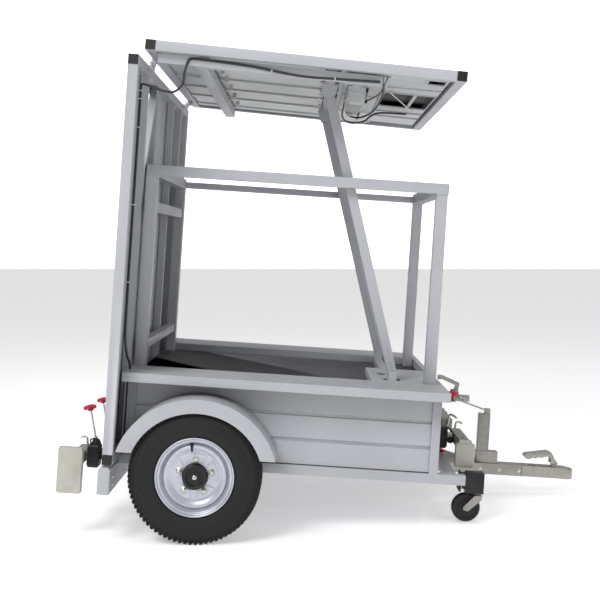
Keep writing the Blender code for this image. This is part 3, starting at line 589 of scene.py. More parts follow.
# %% Rims, valves, nuts and hub caps
RIM_LINE = [
    (0.1930, -0.0118), (0.1926, -0.0100), (0.1912, -0.0090), (0.1888, -0.0090), (0.1862, -0.0104),
        (0.1840, -0.0130),
    (0.1822, -0.0168), (0.1798, -0.0192), (0.1768, -0.0202), (0.1738, -0.0206), (0.1712, -0.0214),
        (0.1700, -0.0234),
    (0.1692, -0.0270), (0.1672, -0.0310), (0.1636, -0.0356), (0.1606, -0.0405), (0.1594, -0.0450),
        (0.1568, -0.0462),
    (0.1550, -0.0440), (0.1540, -0.0370), (0.1520, -0.0335), (0.1490, -0.0318), (0.1455, -0.0316),
        (0.1400, -0.0332),
    (0.1320, -0.0372), (0.1250, -0.0412), (0.1195, -0.0436), (0.1140, -0.0446), (0.0700, -0.0450),
        (0.0655, -0.0440),
    (0.0630, -0.0460), (0.0630, -0.0510), (0.1200, -0.0500), (0.1460, -0.0600), (0.1600, -0.1150),
        (0.1700, -0.1700),
    (0.1860, -0.1755), (0.1925, -0.1750), (0.1930, -0.1735), (0.1915, -0.1715), (0.1840, -0.1705),
        (0.1797, -0.1650),
    (0.1794, -0.0200), (0.1840, -0.0145), (0.1900, -0.0138),
]


def sector(r0, r1, half, middle, y0, y1):
    """A flat pad between two radii, reaching half degrees either side of its middle."""
    outline = []
    for k in range(13):
        a = math.radians(middle - half + 2 * half * k / 12)
        outline.append((r1 * math.cos(a), r1 * math.sin(a)))
    for k in range(13):
        a = math.radians(middle + (half - 7) - 2 * (half - 7) * k / 12)
        outline.append((r0 * math.cos(a), r0 * math.sin(a)))
    return prism(outline, "y", y0, y1)


def wheel_trim(side, tag):
    out = HALF_W
    rim = turned([(r, side * (out + h)) for r, h in RIM_LINE], 128, (0, 0, 0), "y")
    finished("steel_rim_" + tag, rim, BODY, "wheel_" + tag, silver, nodes=("rim_" + tag,), angle=50)
    y0, y1 = sorted((side * (out - 0.0465), side * (out - 0.0400)))
    pads = repeated(sector(0.070, 0.113, 27, 90, y0, y1), silver, 5, (0, 0, 0), (0, 0, 0), NUT_TURN)
    pads = finished("rim_pads_" + tag, pads, BODY, "wheel_" + tag, silver, 0.0016, segments=2)
    cone = [(0.0, side * 0.0150), (0.0062, side * 0.0150), (0.0075, side * 0.0140), (0.0108, side * 0.0125),
            (0.0112, side * 0.0040), (0.0150, side * 0.0020), (0.0156, -side * 0.0010), (0.0, -side * 0.0010)]
    nuts = repeated(turned(cone, 6, (0, 0, 0), "y"), silver, 5, (0, side * (out - 0.0405), 0.083), (0, 0, 0),
            NUT_TURN)
    seats = [(0.0105, 0.0), (0.0165, 0.0), (0.0178, side * 0.0012), (0.0165, side * 0.0026),
            (0.0120, side * 0.0012)]
    rings = repeated(turned(seats, 24, (0, 0, 0), "y"), silver, 5, (0, side * (out - 0.0415), 0.083), (0, 0, 0),
            NUT_TURN)
    studs = repeated(rod((0, 0, 0), (0, side * 0.019, 0), 0.0058, 16), silver, 5,
            (0, side * (out - 0.0415), 0.083),
            (0, 0, 0), NUT_TURN)
    nuts = finished("wheel_nuts_" + tag, merged([nuts, rings, studs]), BODY, "wheel_" + tag, plated, 0.0005)
    cap = [(0.0, -0.0105), (0.0120, -0.0105), (0.0150, -0.0130), (0.0160, -0.0175), (0.0250, -0.0175),
           (0.0270, -0.0160), (0.0290, -0.0160), (0.0310, -0.0178), (0.0395, -0.0178), (0.0415, -0.0120),
           (0.0440, -0.0085), (0.0480, -0.0065), (0.0530, -0.0060), (0.0575, -0.0080), (0.0602, -0.0125),
           (0.0610, -0.0200), (0.0610, -0.0560), (0.0980, -0.0565), (0.0980, -0.0680), (0.0450, -0.0700),
           (0.0450, -0.1350), (0.0190, -0.1350), (0.0190, -0.0640), (0.0, -0.0640)]
    hub = turned([(r, side * (out + h)) for r, h in cap], 96, (0, 0, 0), "y")
    finished("hub_cap_" + tag, hub, BODY, "wheel_" + tag, black_coat, nodes=("hub_" + tag,), angle=35)
    tip = [(0.0, -0.0065), (0.0075, -0.0068), (0.0105, -0.0085), (0.0125, -0.0110), (0.0125, -0.0160),
           (0.0, -0.0160)]
    grease = merged([turned([(r, side * (out + h)) for r, h in tip], 24, (0, 0, 0), "y"),
            turned([(0.0, side * (out - 0.0045)), (0.004, side * (out - 0.0055)),
            (0.004, side * (out - 0.008)),
            (0.0, side * (out - 0.008))], 12, (0, 0, 0), "y")])
    grease = finished("hub_centre_" + tag, grease, BODY, "wheel_" + tag, plated)
    lean = math.radians(99)
    stem = [(0.0, 0.0), (0.0085, 0.0), (0.0085, 0.008), (0.0062, 0.012), (0.0054, 0.030), (0.0050, 0.031),
            (0.0050, 0.042), (0.0, 0.043)]
    valve = turned(stem, 16, (0, 0, 0), "z")
    turn = Matrix.Rotation(math.radians(90) - lean, 4,
            "Y") @ Matrix.Translation((0, side * (out - 0.0335), 0.1625))
    valve.transform(turn @ Matrix.Rotation(math.radians(180 + side * 28), 4, "X"))
    valve = finished("valve_" + tag, valve, BODY, "wheel_" + tag, rubber)


wheel_trim(-1, "near")
wheel_trim(1, "far")
print("rims done")


# %% [markdown]
# ## Boards
# Both boards are square tube frames whose cut ends are closed by black plastic plugs. The folded upper
# board shows its underside: a ribbed sheet, a long wiring beam, a pale carrier panel with the lamp
# controller, and two openings in the front sheet. The lamps themselves sit on its top face.

# %% Tube plugs, rivets and weld seams
LOWER_X = (-0.4505, -0.4005)
LOWER_Z = (0.035, 2.0246)


def plug(centre, side):
    """Square tube plug standing a little out of the tube's end."""
    x, z = centre
    cap = prism([(x + a, z + b) for a, b in rounded_rect(0.0243, 0.0243, 0.004)], "y",
            *sorted((side * (HALF_W - 0.004), side * (HALF_W + 0.0035))))
    return cap


for space, body, label, spots in (
    (BODY, "trailer", "lower", ((-0.4255, 0.060), (-0.4255, 1.9996))),
    (FOLD, "upper_board", "upper", ((0.026, 0.048), (1.540, 0.048)))):
    plugs = merged([plug(spot, side) for spot in spots for side in (-1, 1)])
    piece = finished("tube_plugs_" + label, plugs, space, body, black_plastic, 0.0012)
cage_plugs = merged([prism([(y + a, 1.496 + b) for a, b in rounded_rect(0.029, 0.029, 0.004)], "x", x0, x1)
        for y in (-0.625, 0.625) for x0, x1 in ((1.186, 1.1925), (-0.395, -0.3885))])
finished("tube_plugs_cage", cage_plugs, BODY, "trailer", black_plastic, 0.0012)

rivets = []
for y in (-1.035, -0.52, 0.02, 0.50, 1.035):
    rivets.append(row(rivet("-x", 0.006), plated, (-0.4487, y, 0.12),
            (-0.4487, y, 1.30 if abs(y + 0.52) < 0.01 else 1.94),
            13 if abs(y + 0.52) < 0.01 else 19))
for z in (0.10, 1.955):
    rivets.append(row(rivet("-x", 0.006), plated, (-0.4487, -1.0, z), (-0.4487, 1.0, z), 19))
finished("board_rivets_lower", merged(rivets), BODY, "trailer", plated)
edge_screws = row(rivet("z", 0.0085), plated, (0.62, -1.075, 0.0728), (1.50, -1.075, 0.0728), 22)
far_screws = row(rivet("z", 0.0085), plated, (0.62, 1.075, 0.0728), (1.50, 1.075, 0.0728), 22)
finished("board_screws_upper", merged([edge_screws, far_screws]), FOLD, "upper_board", plated)

seams = []
for y in (-1.05, 1.05):
    for z in (LOWER_Z[0] + 0.05, LOWER_Z[1] - 0.05):
        seams.append(bead((LOWER_X[1] + 0.0005, y, z), (LOWER_X[0] + 0.003, y, z)))
for y in (-0.74, -0.37, 0.33, 0.70):
    for z in (LOWER_Z[0] + 0.05, LOWER_Z[1] - 0.05):
        seams.append(bead((LOWER_X[1], y, z), (LOWER_X[1], y + 0.04, z)))
for y in (-0.6555, 0.6555):
    for x in (-0.3325, 1.13):
        seams.append(bead((x, y, 1.466), (x + (0.002 if x < 0 else 0.058), y, 1.466), 0.0025))
finished("weld_seams_frames", merged(seams), BODY, "trailer", paint)
print("plugs, rivets and seams done")

# %% Underside of the upper board
profile = []
step = 0.392
for k in range(5):
    y = -0.98 + step * k
    profile += [(y, 0.0395), (y + 0.290, 0.0395), (y + 0.300, 0.0300), (y + 0.380, 0.0300)]
profile.append((0.98, 0.0395))
skin = profile + [(y, n + 0.0012) for y, n in profile[::-1]]
ribbed = prism(skin, "x", 0.055, 0.88)
finished("ribbed_sheet", ribbed, FOLD, "upper_board", mill, nodes=("upper_back_sheet",), angle=20)

carrier = prism([(y, n) for y, n in ((-0.98, 0.0360), (-0.98, 0.0245), (-0.965, 0.0225), (-0.30, 0.0225),
        (-0.292, 0.0275),
        (-0.262, 0.0275), (-0.254, 0.0225), (0.40, 0.0225),
        (0.408, 0.0275),
        (0.438, 0.0275),
        (0.446, 0.0225), (0.965, 0.0225), (0.98, 0.0245),
        (0.98, 0.0360))], "x", 0.985, 1.186)
finished("carrier_panel", carrier, FOLD, "upper_board", mill, 0.001)

frames = []
for u0, u1, y0, y1 in ((1.215, 1.49, -0.41, 0.14), (1.40, 1.485, -0.95, -0.82)):
    for a0, a1, b0, b1 in ((u0 - 0.012, u1 + 0.004, y0 - 0.012, y0), (u0 - 0.012, u1 + 0.004, y1, y1 + 0.012),
            (u0 - 0.012, u0, y0, y1), (u1, u1 + 0.006, y0, y1)):
        frames.append(box(a0, a1, b0, b1, 0.0335, 0.0385))
frames.append(box(1.375, 1.395, -0.41, 0.14, 0.0345, 0.0385))
for y in (-0.62, 0.36, 0.60):
    frames.append(box(1.20, 1.50, y, y + 0.022, 0.0310, 0.0385))
frames.append(box(1.192, 1.207, -0.97, 0.97, 0.0260, 0.0385))
finished("window_frames", merged(frames), FOLD, "upper_board", paint, 0.0012)

brackets = []
for y in (-0.62, -0.33, -0.02, 0.30, 0.62):
    for u in (0.868, 0.948):
        brackets.append(box(u - 0.012, u + 0.012, y - 0.020, y + 0.020, 0.0150, 0.0240))
        brackets.append(moved(bolt("z", 0.010), (u, y, 0.0150), (0, 0, -1)))
    brackets.append(box(0.332, 0.352, y - 0.018, y + 0.018, 0.012, 0.038))
    brackets.append(moved(bolt("z", 0.010), (0.342, y, 0.012), (0, 0, -1)))
finished("underside_clips", merged(brackets), FOLD, "upper_board", plated, 0.0006)

# Painted shade: thin black plates at the wiring beam's ends stand in for the dark gaps there.
beam_end_shade = [box(1.1632, 1.1655, -1.043, -0.997, -0.024, 0.0165)]
beam_end_shade.append(box(0.236, 0.2398, -0.999, -0.955, -0.028, 0.018))
finished("beam_end_shade_plates", merged(beam_end_shade), FOLD, "upper_board", black_plastic, 0.0008)
diagonal = rod((1.236, -0.48, 0.030), (1.425, 0.228, 0.030), 0.004, 12)
finished("tie_rod", diagonal, FOLD, "upper_board", plated)

catches = []
for side in (-1, 1):
    for y in (side * 0.565 - 0.034, side * 0.565 + 0.0290):
        plate = [(0.862, 0.028), (0.958, 0.028), (0.945, -0.030), (0.930, -0.052), (0.890, -0.052),
                (0.875, -0.030)]
        catches.append(prism(plate, "y", y, y + 0.005))
finished("prop_catches", merged(catches), FOLD, "upper_board", paint, 0.001)
print("underside done")

# %% Lamp controller, its leads and the lamps on top
parts = []
lid = prism([(1.055 + a, -0.37 + b) for a, b in rounded_rect(0.0485, 0.2485, 0.008)], "z", -0.0475, 0.0205)
parts.append(lid)
parts.append(prism([(1.055 + a, -0.37 + b) for a, b in rounded_rect(0.0510, 0.2510, 0.009)], "z", -0.018,
        -0.008))
parts.append(prism([(1.055 + a, -0.54 + b) for a, b in rounded_rect(0.035, 0.058, 0.006)], "z", -0.0600,
        -0.045))
parts.append(box(1.03, 1.08, -0.64, -0.10, 0.0195, 0.0375))
fins = box(1.015, 1.095, -0.0018, 0.0018, -0.0585, -0.0465)
parts.append(row(fins, mill, (0, -0.44, 0), (0, -0.16, 0), 22))
finished("controller_case", merged(parts), FOLD, "upper_board", mill, 0.0012, nodes=("lamp_controller",))
gauge = [turned([(0.0, -0.0650), (0.014, -0.0650), (0.022, -0.0620), (0.024, -0.0600), (0.024, -0.0470),
        (0.0, -0.0470)],
        32, (1.055, -0.05, 0), "z"), box(1.03, 1.08, -0.085, -0.015, -0.0475, 0.0225)]
finished("controller_gauge", merged(gauge), FOLD, "upper_board", plated, 0.0006)
# Painted shade: two long black strips beside the controller stand in for the dark slot there.
slot_shade_strips = [box(1.105, 1.110, -0.60, 0.55, -0.020, -0.012), box(1.108, 1.118, -0.58, 0.60, 0.004, 0.0225)]
finished("controller_slot_shade_strips", merged(slot_shade_strips), FOLD, "upper_board", black_plastic, 0.0008)
leads = [
    tube([(1.166, -1.00, -0.012), (1.182, -0.85, -0.022), (1.186, -0.45, -0.030), (1.170, -0.05, -0.036),
        (1.110, 0.22, -0.040), (1.045, 0.16, -0.040), (1.022, -0.02, -0.036), (1.020, -0.11,
        -0.030)], 0.0055, 14, 8),
    tube([(1.010, -0.115, -0.012), (1.004, 0.10, -0.024), (1.018, 0.38, -0.036), (1.075, 0.52, -0.042),
        (1.150, 0.46, -0.030), (1.186, 0.36, -0.006), (1.240, 0.30, 0.012), (1.400, 0.31,
        0.022)], 0.0055, 14, 8),
    tube([(1.105, -0.45, -0.030), (1.135, -0.52, -0.026), (1.172, -0.72, -0.018), (1.180, -0.90, -0.004)],
        0.0035, 12, 8),
]
glands = [moved(turned([(0.0, 0.0), (0.011, 0.0), (0.011, 0.010), (0.008, 0.016), (0.0, 0.016)], 12,
        (0, 0, 0), "z"), p, d)
        for p, d in (((1.020, -0.120, -0.030), (0, 1, 0)), ((1.010, -0.120, -0.012), (0, 1, 0)),
        ((1.106, -0.45, -0.030), (1, 0, 0)))]
finished("controller_leads", merged(leads), FOLD, "upper_board", sheath)
finished("controller_glands", merged(glands), FOLD, "upper_board", black_plastic, 0.0005)

LAMP = [(0.0, 0.0830), (0.020, 0.0822), (0.034, 0.0802), (0.044, 0.0775), (0.044, 0.0700), (0.0, 0.0700)]
BEZEL = [(0.0445, 0.0700), (0.0445, 0.0800), (0.0470, 0.0842), (0.0520, 0.0842), (0.0548, 0.0800),
        (0.0560, 0.0705),
        (0.0560, 0.0690), (0.0445, 0.0690)]
for label, outline, mat, slot in (("lamp_lenses", LAMP, amber, "sign_face"),
        ("lamp_bezels", BEZEL, black_plastic, "sign_face")):
    lamps = [row(turned(outline, 40, (0, 0, 0), "z"), mat, (0.78, -0.85, 0), (0.78, 0.83, 0), 9)]
    for way in (-1, 1):
        lamps.append(row(turned(outline, 40, (0, 0, 0), "z"), mat, (0.78 + way * 0.17, -0.68, 0),
                (0.78 + way * 0.51, -0.34, 0), 3))
    finished(label, merged(lamps), FOLD, "upper_board", mat)
print("controller and lamps done")

# %% Cables along the boards
def ties(spots):
    """Nylon cable ties: a strap, and a block with the tail, at each point."""
    out = []
    for place, along in spots:
        strap = turned([(0.0066, -0.0022), (0.0078, -0.0022), (0.0078, 0.0022), (0.0066, 0.0022)], 20,
                (0, 0, 0), "z")
        out.append(moved(merged([strap, box(0.006, 0.013, -0.003, 0.003, -0.003, 0.003)]), place, along))
    return out


upper_route = [(1.150, -1.0525, -0.012), (0.95, -1.0525, -0.019), (0.76, -1.0525, -0.023),
        (0.51, -1.0525, 0.000),
        (0.262, -1.0525, 0.008), (0.2445, -1.0525, 0.008)]
finished("cable_on_beam", tube(upper_route, 0.006, 16, 10), FOLD, "upper_board", sheath, nodes=("cable_upper",))
lower_route = [(-0.392, -1.02, 1.8785), (-0.392, -1.02, 1.70), (-0.3925, -1.018, 1.30), (-0.392, -1.02, 0.90),
        (-0.391, -1.01, 0.66), (-0.386, -0.96, 0.56), (-0.380, -0.90, 0.515), (-0.376, -0.885, 0.480)]
finished("cable_on_board", tube(lower_route, 0.006, 16, 10), BODY, "trailer", sheath, nodes=("cable_lower",))
finished("cable_ties_lower", merged(ties([((-0.392, -1.02, z), (0, 0, 1)) for z in (1.86, 1.82, 1.68,
        1.30, 0.92)])),
        BODY, "trailer", white_tie)
finished("cable_ties_upper", merged(ties([((0.62, -1.0525, -0.0125), (1, 0, 0)),
        ((0.93, -1.0525, -0.0195), (1, 0, 0))])),
        FOLD, "upper_board", white_tie)
loop_start = FOLD @ Vector((0.2436, -1.0525, 0.008))
turn_back = BODY.inverted()
loop_route = [turn_back @ loop_start, turn_back @ (FOLD @ Vector((0.225, -1.0525, 0.006))),
        (-0.165, -1.0525, 2.015),
        (-0.180, -1.0525, 1.960), (-0.188, -1.045, 1.900), (-0.234, -1.03, 1.862), (-0.317, -1.025,
        1.874),
        (-0.372, -1.022, 1.892), (-0.390, -1.02, 1.888), (-0.3915, -1.02, 1.880)]
loop = tube(loop_route, 0.006, 16, 12)
loop.transform(BODY)
mesh = bpy.data.meshes.new("cable_fold_loop")
loop.to_mesh(mesh)
loop.free()
mesh.materials.append(sheath)
for polygon in mesh.polygons:
    polygon.use_smooth = True
loop = bpy.data.objects.new("cable_fold_loop", mesh)
bpy.context.scene.collection.objects.link(loop)
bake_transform(loop)
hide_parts("cable_loop")
print("cables done")


# %% [markdown]
# ## Swivel jacks
# Four jacks lie sideways until they are needed. Each has a black swivel housing, a galvanised tube, an
# inner leg with a pan foot, a bent crank and a red star knob that locks the swivel.

# %% Jack housings
REAR = {"face": -0.5925, "axis": -0.6275, "spot": 0.70, "z": -0.003, "foot": (0.0625, 0.115), "drop": -0.025,
        "way": -1}
FRONT = {"face": 1.3135, "axis": 1.3785, "spot": 0.30, "z": 0.145, "foot": (0.0525, 0.065), "drop": -0.0475,
        "way": 1}


def housing(x0, x1, y, z):
    """Cast housing: rounded body, side cheeks and four cover bolts."""
    low, high = z - 0.0575, z + 0.0615
    out = [prism([(y + a, (low + high) / 2 + b) for a, b in rounded_rect(0.0445, (high - low) / 2, 0.012)], "x",
            x0 + 0.006, x1 - 0.006)]
    for xa, xb in ((x0, x0 + 0.007), (x1 - 0.007, x1)):
        out.append(prism([(y + a, (low + high) / 2 + b) for a,
                b in rounded_rect(0.038, (high - low) / 2 - 0.006, 0.014)],
                "x", xa, xb))
    for dz in (-0.030, 0.034):
        out.append(row(bolt("-y", 0.009), plated, ((x0 + x1) / 2 - 0.013, y - 0.0440, z + dz),
                ((x0 + x1) / 2 + 0.013, y - 0.0440, z + dz), 2, (0, 1.0, 0), 3))
    return out


spot, z = REAR["spot"], REAR["z"]
parts = [box(-0.5405, -0.4665, -spot, spot, z - 0.02, z + 0.02)]
for y in (-spot, spot):
    parts += housing(-0.5925, -0.530, y, z)
    parts.append(moved(turned([(0.0, 0.0), (0.0215, 0.0), (0.0235, 0.006), (0.0235, 0.020), (0.0190, 0.030),
            (0.0120, 0.036), (0.0, 0.036)], 28, (0, 0, 0), "z"), (-0.5525, y, z + 0.050),
            (-0.14, 0, 1)))
    parts.append(tube([(-0.574, y - 0.030, z + 0.062), (-0.580, y - 0.030, z + 0.084),
            (-0.560, y - 0.030, z + 0.092),
            (-0.538, y - 0.030, z + 0.088), (-0.530, y - 0.030, z + 0.060)], 0.004, 10, 5))
finished("rear_swivels", merged(parts), BODY, "trailer", black_coat, 0.0015, nodes=("jack_beam_rear",))
spot, z = FRONT["spot"], FRONT["z"]
parts = [box(1.2755, 1.2955, -spot, spot, z - 0.02, z + 0.02),
        box(1.204, 1.285, -0.28, 0.28, z - 0.018, z + 0.018)]
for y in (-spot, spot):
    parts += housing(1.2635, 1.3135, y, z)
    parts.append(tube([(1.300, y - 0.028, z + 0.060), (1.318, y - 0.030, z + 0.052),
            (1.338, y - 0.032, z + 0.034),
            (1.348, y - 0.034, z + 0.012), (1.345, y - 0.034, z - 0.006)], 0.0045, 10, 5))
    parts.append(turned([(0.0, y - 0.047), (0.016, y - 0.047), (0.018, y - 0.045), (0.018, y - 0.040),
            (0.0, y - 0.040)], 28,
            (1.330, 0, z - 0.010), "y"))
finished("front_swivels", merged(parts), BODY, "trailer", black_coat, 0.0015, nodes=("jack_beam_front",))
guards = [prism([(x + a, z0 + b) for a, b in rounded_rect(0.013, 0.024, 0.003)], "y", y - 0.012, y + 0.020)
        for x, z0, y in ((1.258, 0.236, -0.30), (1.258, 0.236, 0.30))]
finished("front_swivel_guards", merged(guards), BODY, "trailer", zinc, 0.001)
print("housings done")


# %% Tubes, feet, cranks and knobs
def square_tube(x, z, half, wall, y0, y1):
    """Open square tube along Y with rounded corners."""
    outer = [(x + a, z + b) for a, b in rounded_rect(half, half, 0.006)]
    inner = [(x + a, z + b) for a, b in rounded_rect(half - wall, half - wall, 0.004)]
    bm = bmesh.new()
    rings = [[bm.verts.new((p[0], y, p[1])) for p in outline] for y in (y0, y1) for outline in (outer, inner)]
    count = len(outer)
    for i in range(count):
        j = (i + 1) % count
        for a, b in ((rings[0], rings[2]), (rings[3], rings[1]), (rings[1], rings[0]), (rings[2], rings[3])):
            bm.faces.new((a[i], a[j], b[j], b[i]))
    return closed(bm)


def pan_foot(x, z, half_x, half_z, y, side):
    """Pressed pan: flat sole with a rim rolled back towards the leg."""
    levels = ((0.0, -0.0035), (0.82, -0.0035), (0.86, 0.0), (0.93, 0.0175), (0.955, 0.0215), (0.985, 0.0220),
            (1.0, 0.0185), (0.995, 0.0130), (0.975, -0.0020), (0.94, -0.0060), (0.90, -0.0065),
            (0.0, -0.0065))
    bm = bmesh.new()
    rings = []
    for share, depth in levels[1:-1]:
        ring = rounded_rect(half_x - (1 - share) * half_x * 1.1, half_z - (1 - share) * half_x * 1.1, 0.012, 6)
        rings.append([bm.verts.new((x + a, y - side * depth, z + b)) for a, b in ring])
    for near, far in zip(rings, rings[1:]):
        for i in range(len(near)):
            j = (i + 1) % len(near)
            bm.faces.new((near[i], near[j], far[j], far[i]))
    bm.faces.new(rings[0][::-1])
    bm.faces.new(rings[-1])
    return closed(bm)


def dress_jack(end, sizes, side, tag):
    cx, z, y, way = sizes["axis"], sizes["z"], side * sizes["spot"], sizes["way"]
    t = end + "_" + tag
    y0, y1 = sorted((y - side * 0.13, y + side * 0.24))
    cap0, cap1 = sorted((y - side * 0.13, y - side * 0.124))
    shell = [square_tube(cx, z, 0.030, 0.0035, y0, y1),
            prism([(cx + a, z + b) for a, b in rounded_rect(0.0265, 0.0265, 0.004)], "y", cap0, cap1)]
    shell.append(rod((sizes["face"] + way * 0.0005, y, z), (cx - way * 0.028, y, z), 0.026, 36))
    shell.append(turned([(0.026, sizes["face"] + way * 0.0008), (0.034, sizes["face"] + way * 0.0008),
            (0.034, sizes["face"] + way * 0.0045), (0.026,
            sizes["face"] + way * 0.0045)], 36, (0, y,
            z), "x"))
    for dy in (-0.02, 0.02):
        shell.append(moved(bolt("z", 0.011), (cx + way * 0.030, y + dy, z), (way, 0, 0)))
    shell.append(moved(bolt("z", 0.012), (cx, y + side * 0.18, z + 0.030), (0, 0, 1)))
    finished("jack_outer_" + t, merged(shell), BODY, "jack_tube_" + t, zinc, 0.001, nodes=("jack_tube_" + t,))
    f = y + side * 0.262
    half_x, half_z = sizes["foot"]
    l0, l1 = sorted((y - side * 0.10, f - side * 0.002))
    leg = [square_tube(cx, z, 0.025, 0.003, l0, l1),
           pan_foot(cx, z + sizes["drop"], half_x, half_z, f + side * 0.0155, side)]
    s0, s1 = sorted((f - side * 0.004, f + side * 0.013))
    leg.append(prism([(cx + a, z + b) for a, b in rounded_rect(0.034, 0.034, 0.008)], "y", s0, s1))
    finished("jack_inner_" + t, merged(leg), BODY, "jack_leg_" + t, foot_zinc, 0.0008, nodes=("jack_leg_" + t,))
    e = y - side * 0.1305
    arm, grip = e - side * 0.028, e - side * 0.075
    crank = [tube([(cx, e, z), (cx, e - side * 0.020, z), (cx, arm, z + 0.006),
            (cx + way * 0.003, arm, z + 0.030),
            (cx + way * 0.006, arm, z + 0.052), (cx + way * 0.012, arm - side * 0.004, z + 0.0600),
            (cx + way * 0.028, (arm + grip) / 2, z + 0.0575), (cx + way * 0.045, grip,
            z + 0.048)], 0.0062, 14, 6)]
    crank.append(turned([(0.0, e), (0.012, e), (0.013, e - side * 0.002), (0.013, e - side * 0.012),
            (0.010, e - side * 0.014),
            (0.0, e - side * 0.014)], 24, (cx, 0, z), "y"))
    finished("jack_handle_" + t, merged(crank), BODY, "jack_crank_" + t, plated, nodes=("jack_crank_" + t,))
    if end == "rear":
        foot, top = Vector((-0.5585, y, 0.0838)), Vector((-0.5975, y, 0.242))
        along = top - foot
        shaft = tube([tuple(foot), tuple(foot + along * 0.5), tuple(top)], 0.0055, 16)
        nut = moved(turned([(0.0, 0.0), (0.011, 0.0), (0.011, 0.010), (0.0, 0.010)], 6, (0, 0, 0), "z"),
                tuple(foot), tuple(along))
        head = moved(lobed_knob(0.036, 0.030), tuple(top), tuple(along))
    else:
        top = z - 0.0585
        shaft = rod((1.2885, y, top), (1.2885, y, top - 0.020), 0.006, 16)
        nut = turned([(0.0, top - 0.001), (0.011, top - 0.001), (0.011, top - 0.008), (0.0, top - 0.008)], 6,
                (1.2885, y, 0), "z")
        head = moved(lobed_knob(0.028, 0.018), (1.2885, y, top - 0.0215))
    finished("jack_lock_" + t, head, BODY, "jack_knob_" + t, red, nodes=("jack_knob_" + t,))
    finished("jack_lock_shaft_" + t, merged([shaft, nut]), BODY, "jack_knob_" + t, plated)


# Pressed pans: duller and paler than the tubes.
foot_zinc = surface("dull_pan_zinc", "#BBB9B0", 0.5, 0.35, drift=(9, "#A5A298", 0.7), grain=(180, 0.0004))
for side, tag in SIDES:
    dress_jack("rear", REAR, side, tag)
    dress_jack("front", FRONT, side, tag)
second = []
for y in (-0.385, 0.385):
    second.append(moved(lobed_knob(0.032, 0.028), (-0.592, y, 0.236), (-0.24, 0, 0.97)))
finished("bar_lock_knobs", merged(second), BODY, "trailer", red)
stems = [tube([(-0.545, y, 0.010), (-0.556, y, 0.080), (-0.590, y, 0.228)], 0.0055, 14, 4) for y in (-0.385,
        0.385)]
finished("bar_lock_stems", merged(stems), BODY, "trailer", plated)

bar_parts = [prism([(-0.466, -0.110), (-0.408, -0.110), (-0.408, 0.012), (-0.420, 0.024), (-0.454, 0.024),
        (-0.466, 0.010)],
        "y", -HALF_W, HALF_W)]
finished("rear_bar_pressed", merged(bar_parts), BODY, "trailer", paint, 0.003, nodes=("rear_bar",))
bolts = merged([row(bolt("x", 0.013), plated, (-0.408, -1.02, zz), (-0.408, 1.02, zz), 7, (1.0, 0, 0),
        4) for zz in (-0.075, -0.035)])
finished("rear_bar_bolts", bolts, BODY, "trailer", plated)
print("jacks done")


# %% [markdown]
# ## Front end
# The bracket, fork, lock and coupling were rounded above. Here the lock gets its plated disc and a bent
# eye, and the bracket and drawbar get bolt heads, which show how the plates are held together.

# %% Lock hardware and bracket bolts
LOCK = Vector((1.318, -0.455, 0.0))
disc = turned([(0.0, 0.4025), (0.024, 0.4025), (0.026, 0.4045), (0.026, 0.4075), (0.024, 0.4095),
        (0.0, 0.4095)], 40,
        (LOCK.x, LOCK.y, 0), "z")
eye = tube([(1.330, -0.478, 0.388), (1.352, -0.484, 0.392), (1.368, -0.486, 0.386), (1.372, -0.486, 0.374)],
        0.0045, 12, 5)
finished("front_lock_fittings", merged([disc, eye]), BODY, "trailer", plated, 0.0006)
bracket_bolts = [row(bolt("x", 0.013), plated, (1.3545, -0.660, z), (1.3545, -0.608, z), 2, (1.0, 0, 0), 5)
        for z in (-0.055, 0.000)]
bracket_bolts.append(row(bolt("-y", 0.016), plated, (1.44, -0.0405, -0.068), (1.78, -0.0405, -0.068), 4,
        (0, 1.0, 0), 8))
bracket_bolts.append(row(bolt("z", 0.014), plated, (1.825, -0.018, -0.036), (1.885, -0.018, -0.036), 2,
        (0, 0, 1.0), 9))
finished("front_bolts", merged(bracket_bolts), BODY, "trailer", plated, 0.0004)
print("front fittings done")


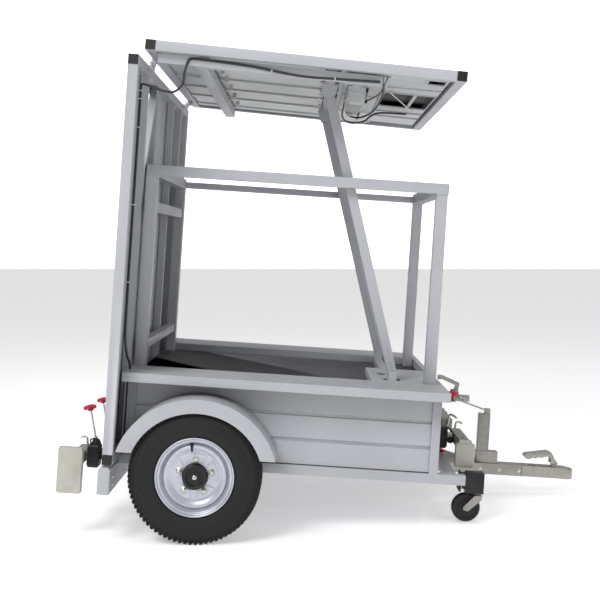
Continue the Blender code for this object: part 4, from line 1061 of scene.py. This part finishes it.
# %% [markdown]
# ## Studio
# A pale floor and large soft lamps, so that the grey paint reads as paint and the shadows stay faint. The
# backdrop is brighter to the camera than the sky light it sheds, so it is white while the paint is not.

# %% Floor, world and lamps
SKY_LIGHT = 0.42    # light the even sky gives the trailer
SKY_SEEN = 1.6      # brightness of the backdrop itself
FLOOR_GLOW = 0.35   # keeps the floor as white as the backdrop
floor = bpy.data.objects.new("floor", bpy.data.meshes.new("floor"))
ground = box(-30, 30, -30, 60, -0.02, -0.0005)
ground.to_mesh(floor.data)
ground.free()
bpy.context.scene.collection.objects.link(floor)
white_floor = surface("pale_floor", "#FBFBFB", 0.8)
white_floor.node_tree.nodes["Principled BSDF"].inputs["Emission Color"].default_value = (1, 1, 1, 1)
white_floor.node_tree.nodes["Principled BSDF"].inputs["Emission Strength"].default_value = FLOOR_GLOW
floor.data.materials.append(white_floor)
bpy.context.scene.view_settings.view_transform = "Standard"
world = bpy.data.worlds.new("studio")
bpy.context.scene.world = world
world.use_nodes = True
tree = world.node_tree
soft = tree.nodes["Background"]
soft.inputs["Color"].default_value = (1, 1, 1, 1)
soft.inputs["Strength"].default_value = SKY_LIGHT
seen = add(tree, "ShaderNodeBackground", Strength=SKY_SEEN)
seen.inputs["Color"].default_value = (1, 1, 1, 1)
ray = add(tree, "ShaderNodeLightPath")
pick = add(tree, "ShaderNodeMixShader")
tree.links.new(ray.outputs["Is Camera Ray"], pick.inputs[0])
tree.links.new(soft.outputs[0], pick.inputs[1])
tree.links.new(seen.outputs[0], pick.inputs[2])
tree.links.new(pick.outputs[0], tree.nodes["World Output"].inputs["Surface"])
for name, place, size, power in (
        ("key", (-3.5, -5.5, 6.0), 3.0, 330), ("fill", (5.0, -4.0, 3.5), 4.0, 60), ("top", (0, 1.0, 7.0), 5.0,
        170)):
    lamp = bpy.data.objects.new(name, bpy.data.lights.new(name, "AREA"))
    bpy.context.scene.collection.objects.link(lamp)
    lamp.data.size = size
    lamp.data.energy = power
    lamp.location = place
    lamp.rotation_euler = (Vector((0, 0, 1.0)) - Vector(place)).to_track_quat("-Z", "Y").to_euler()
print("stage ready")
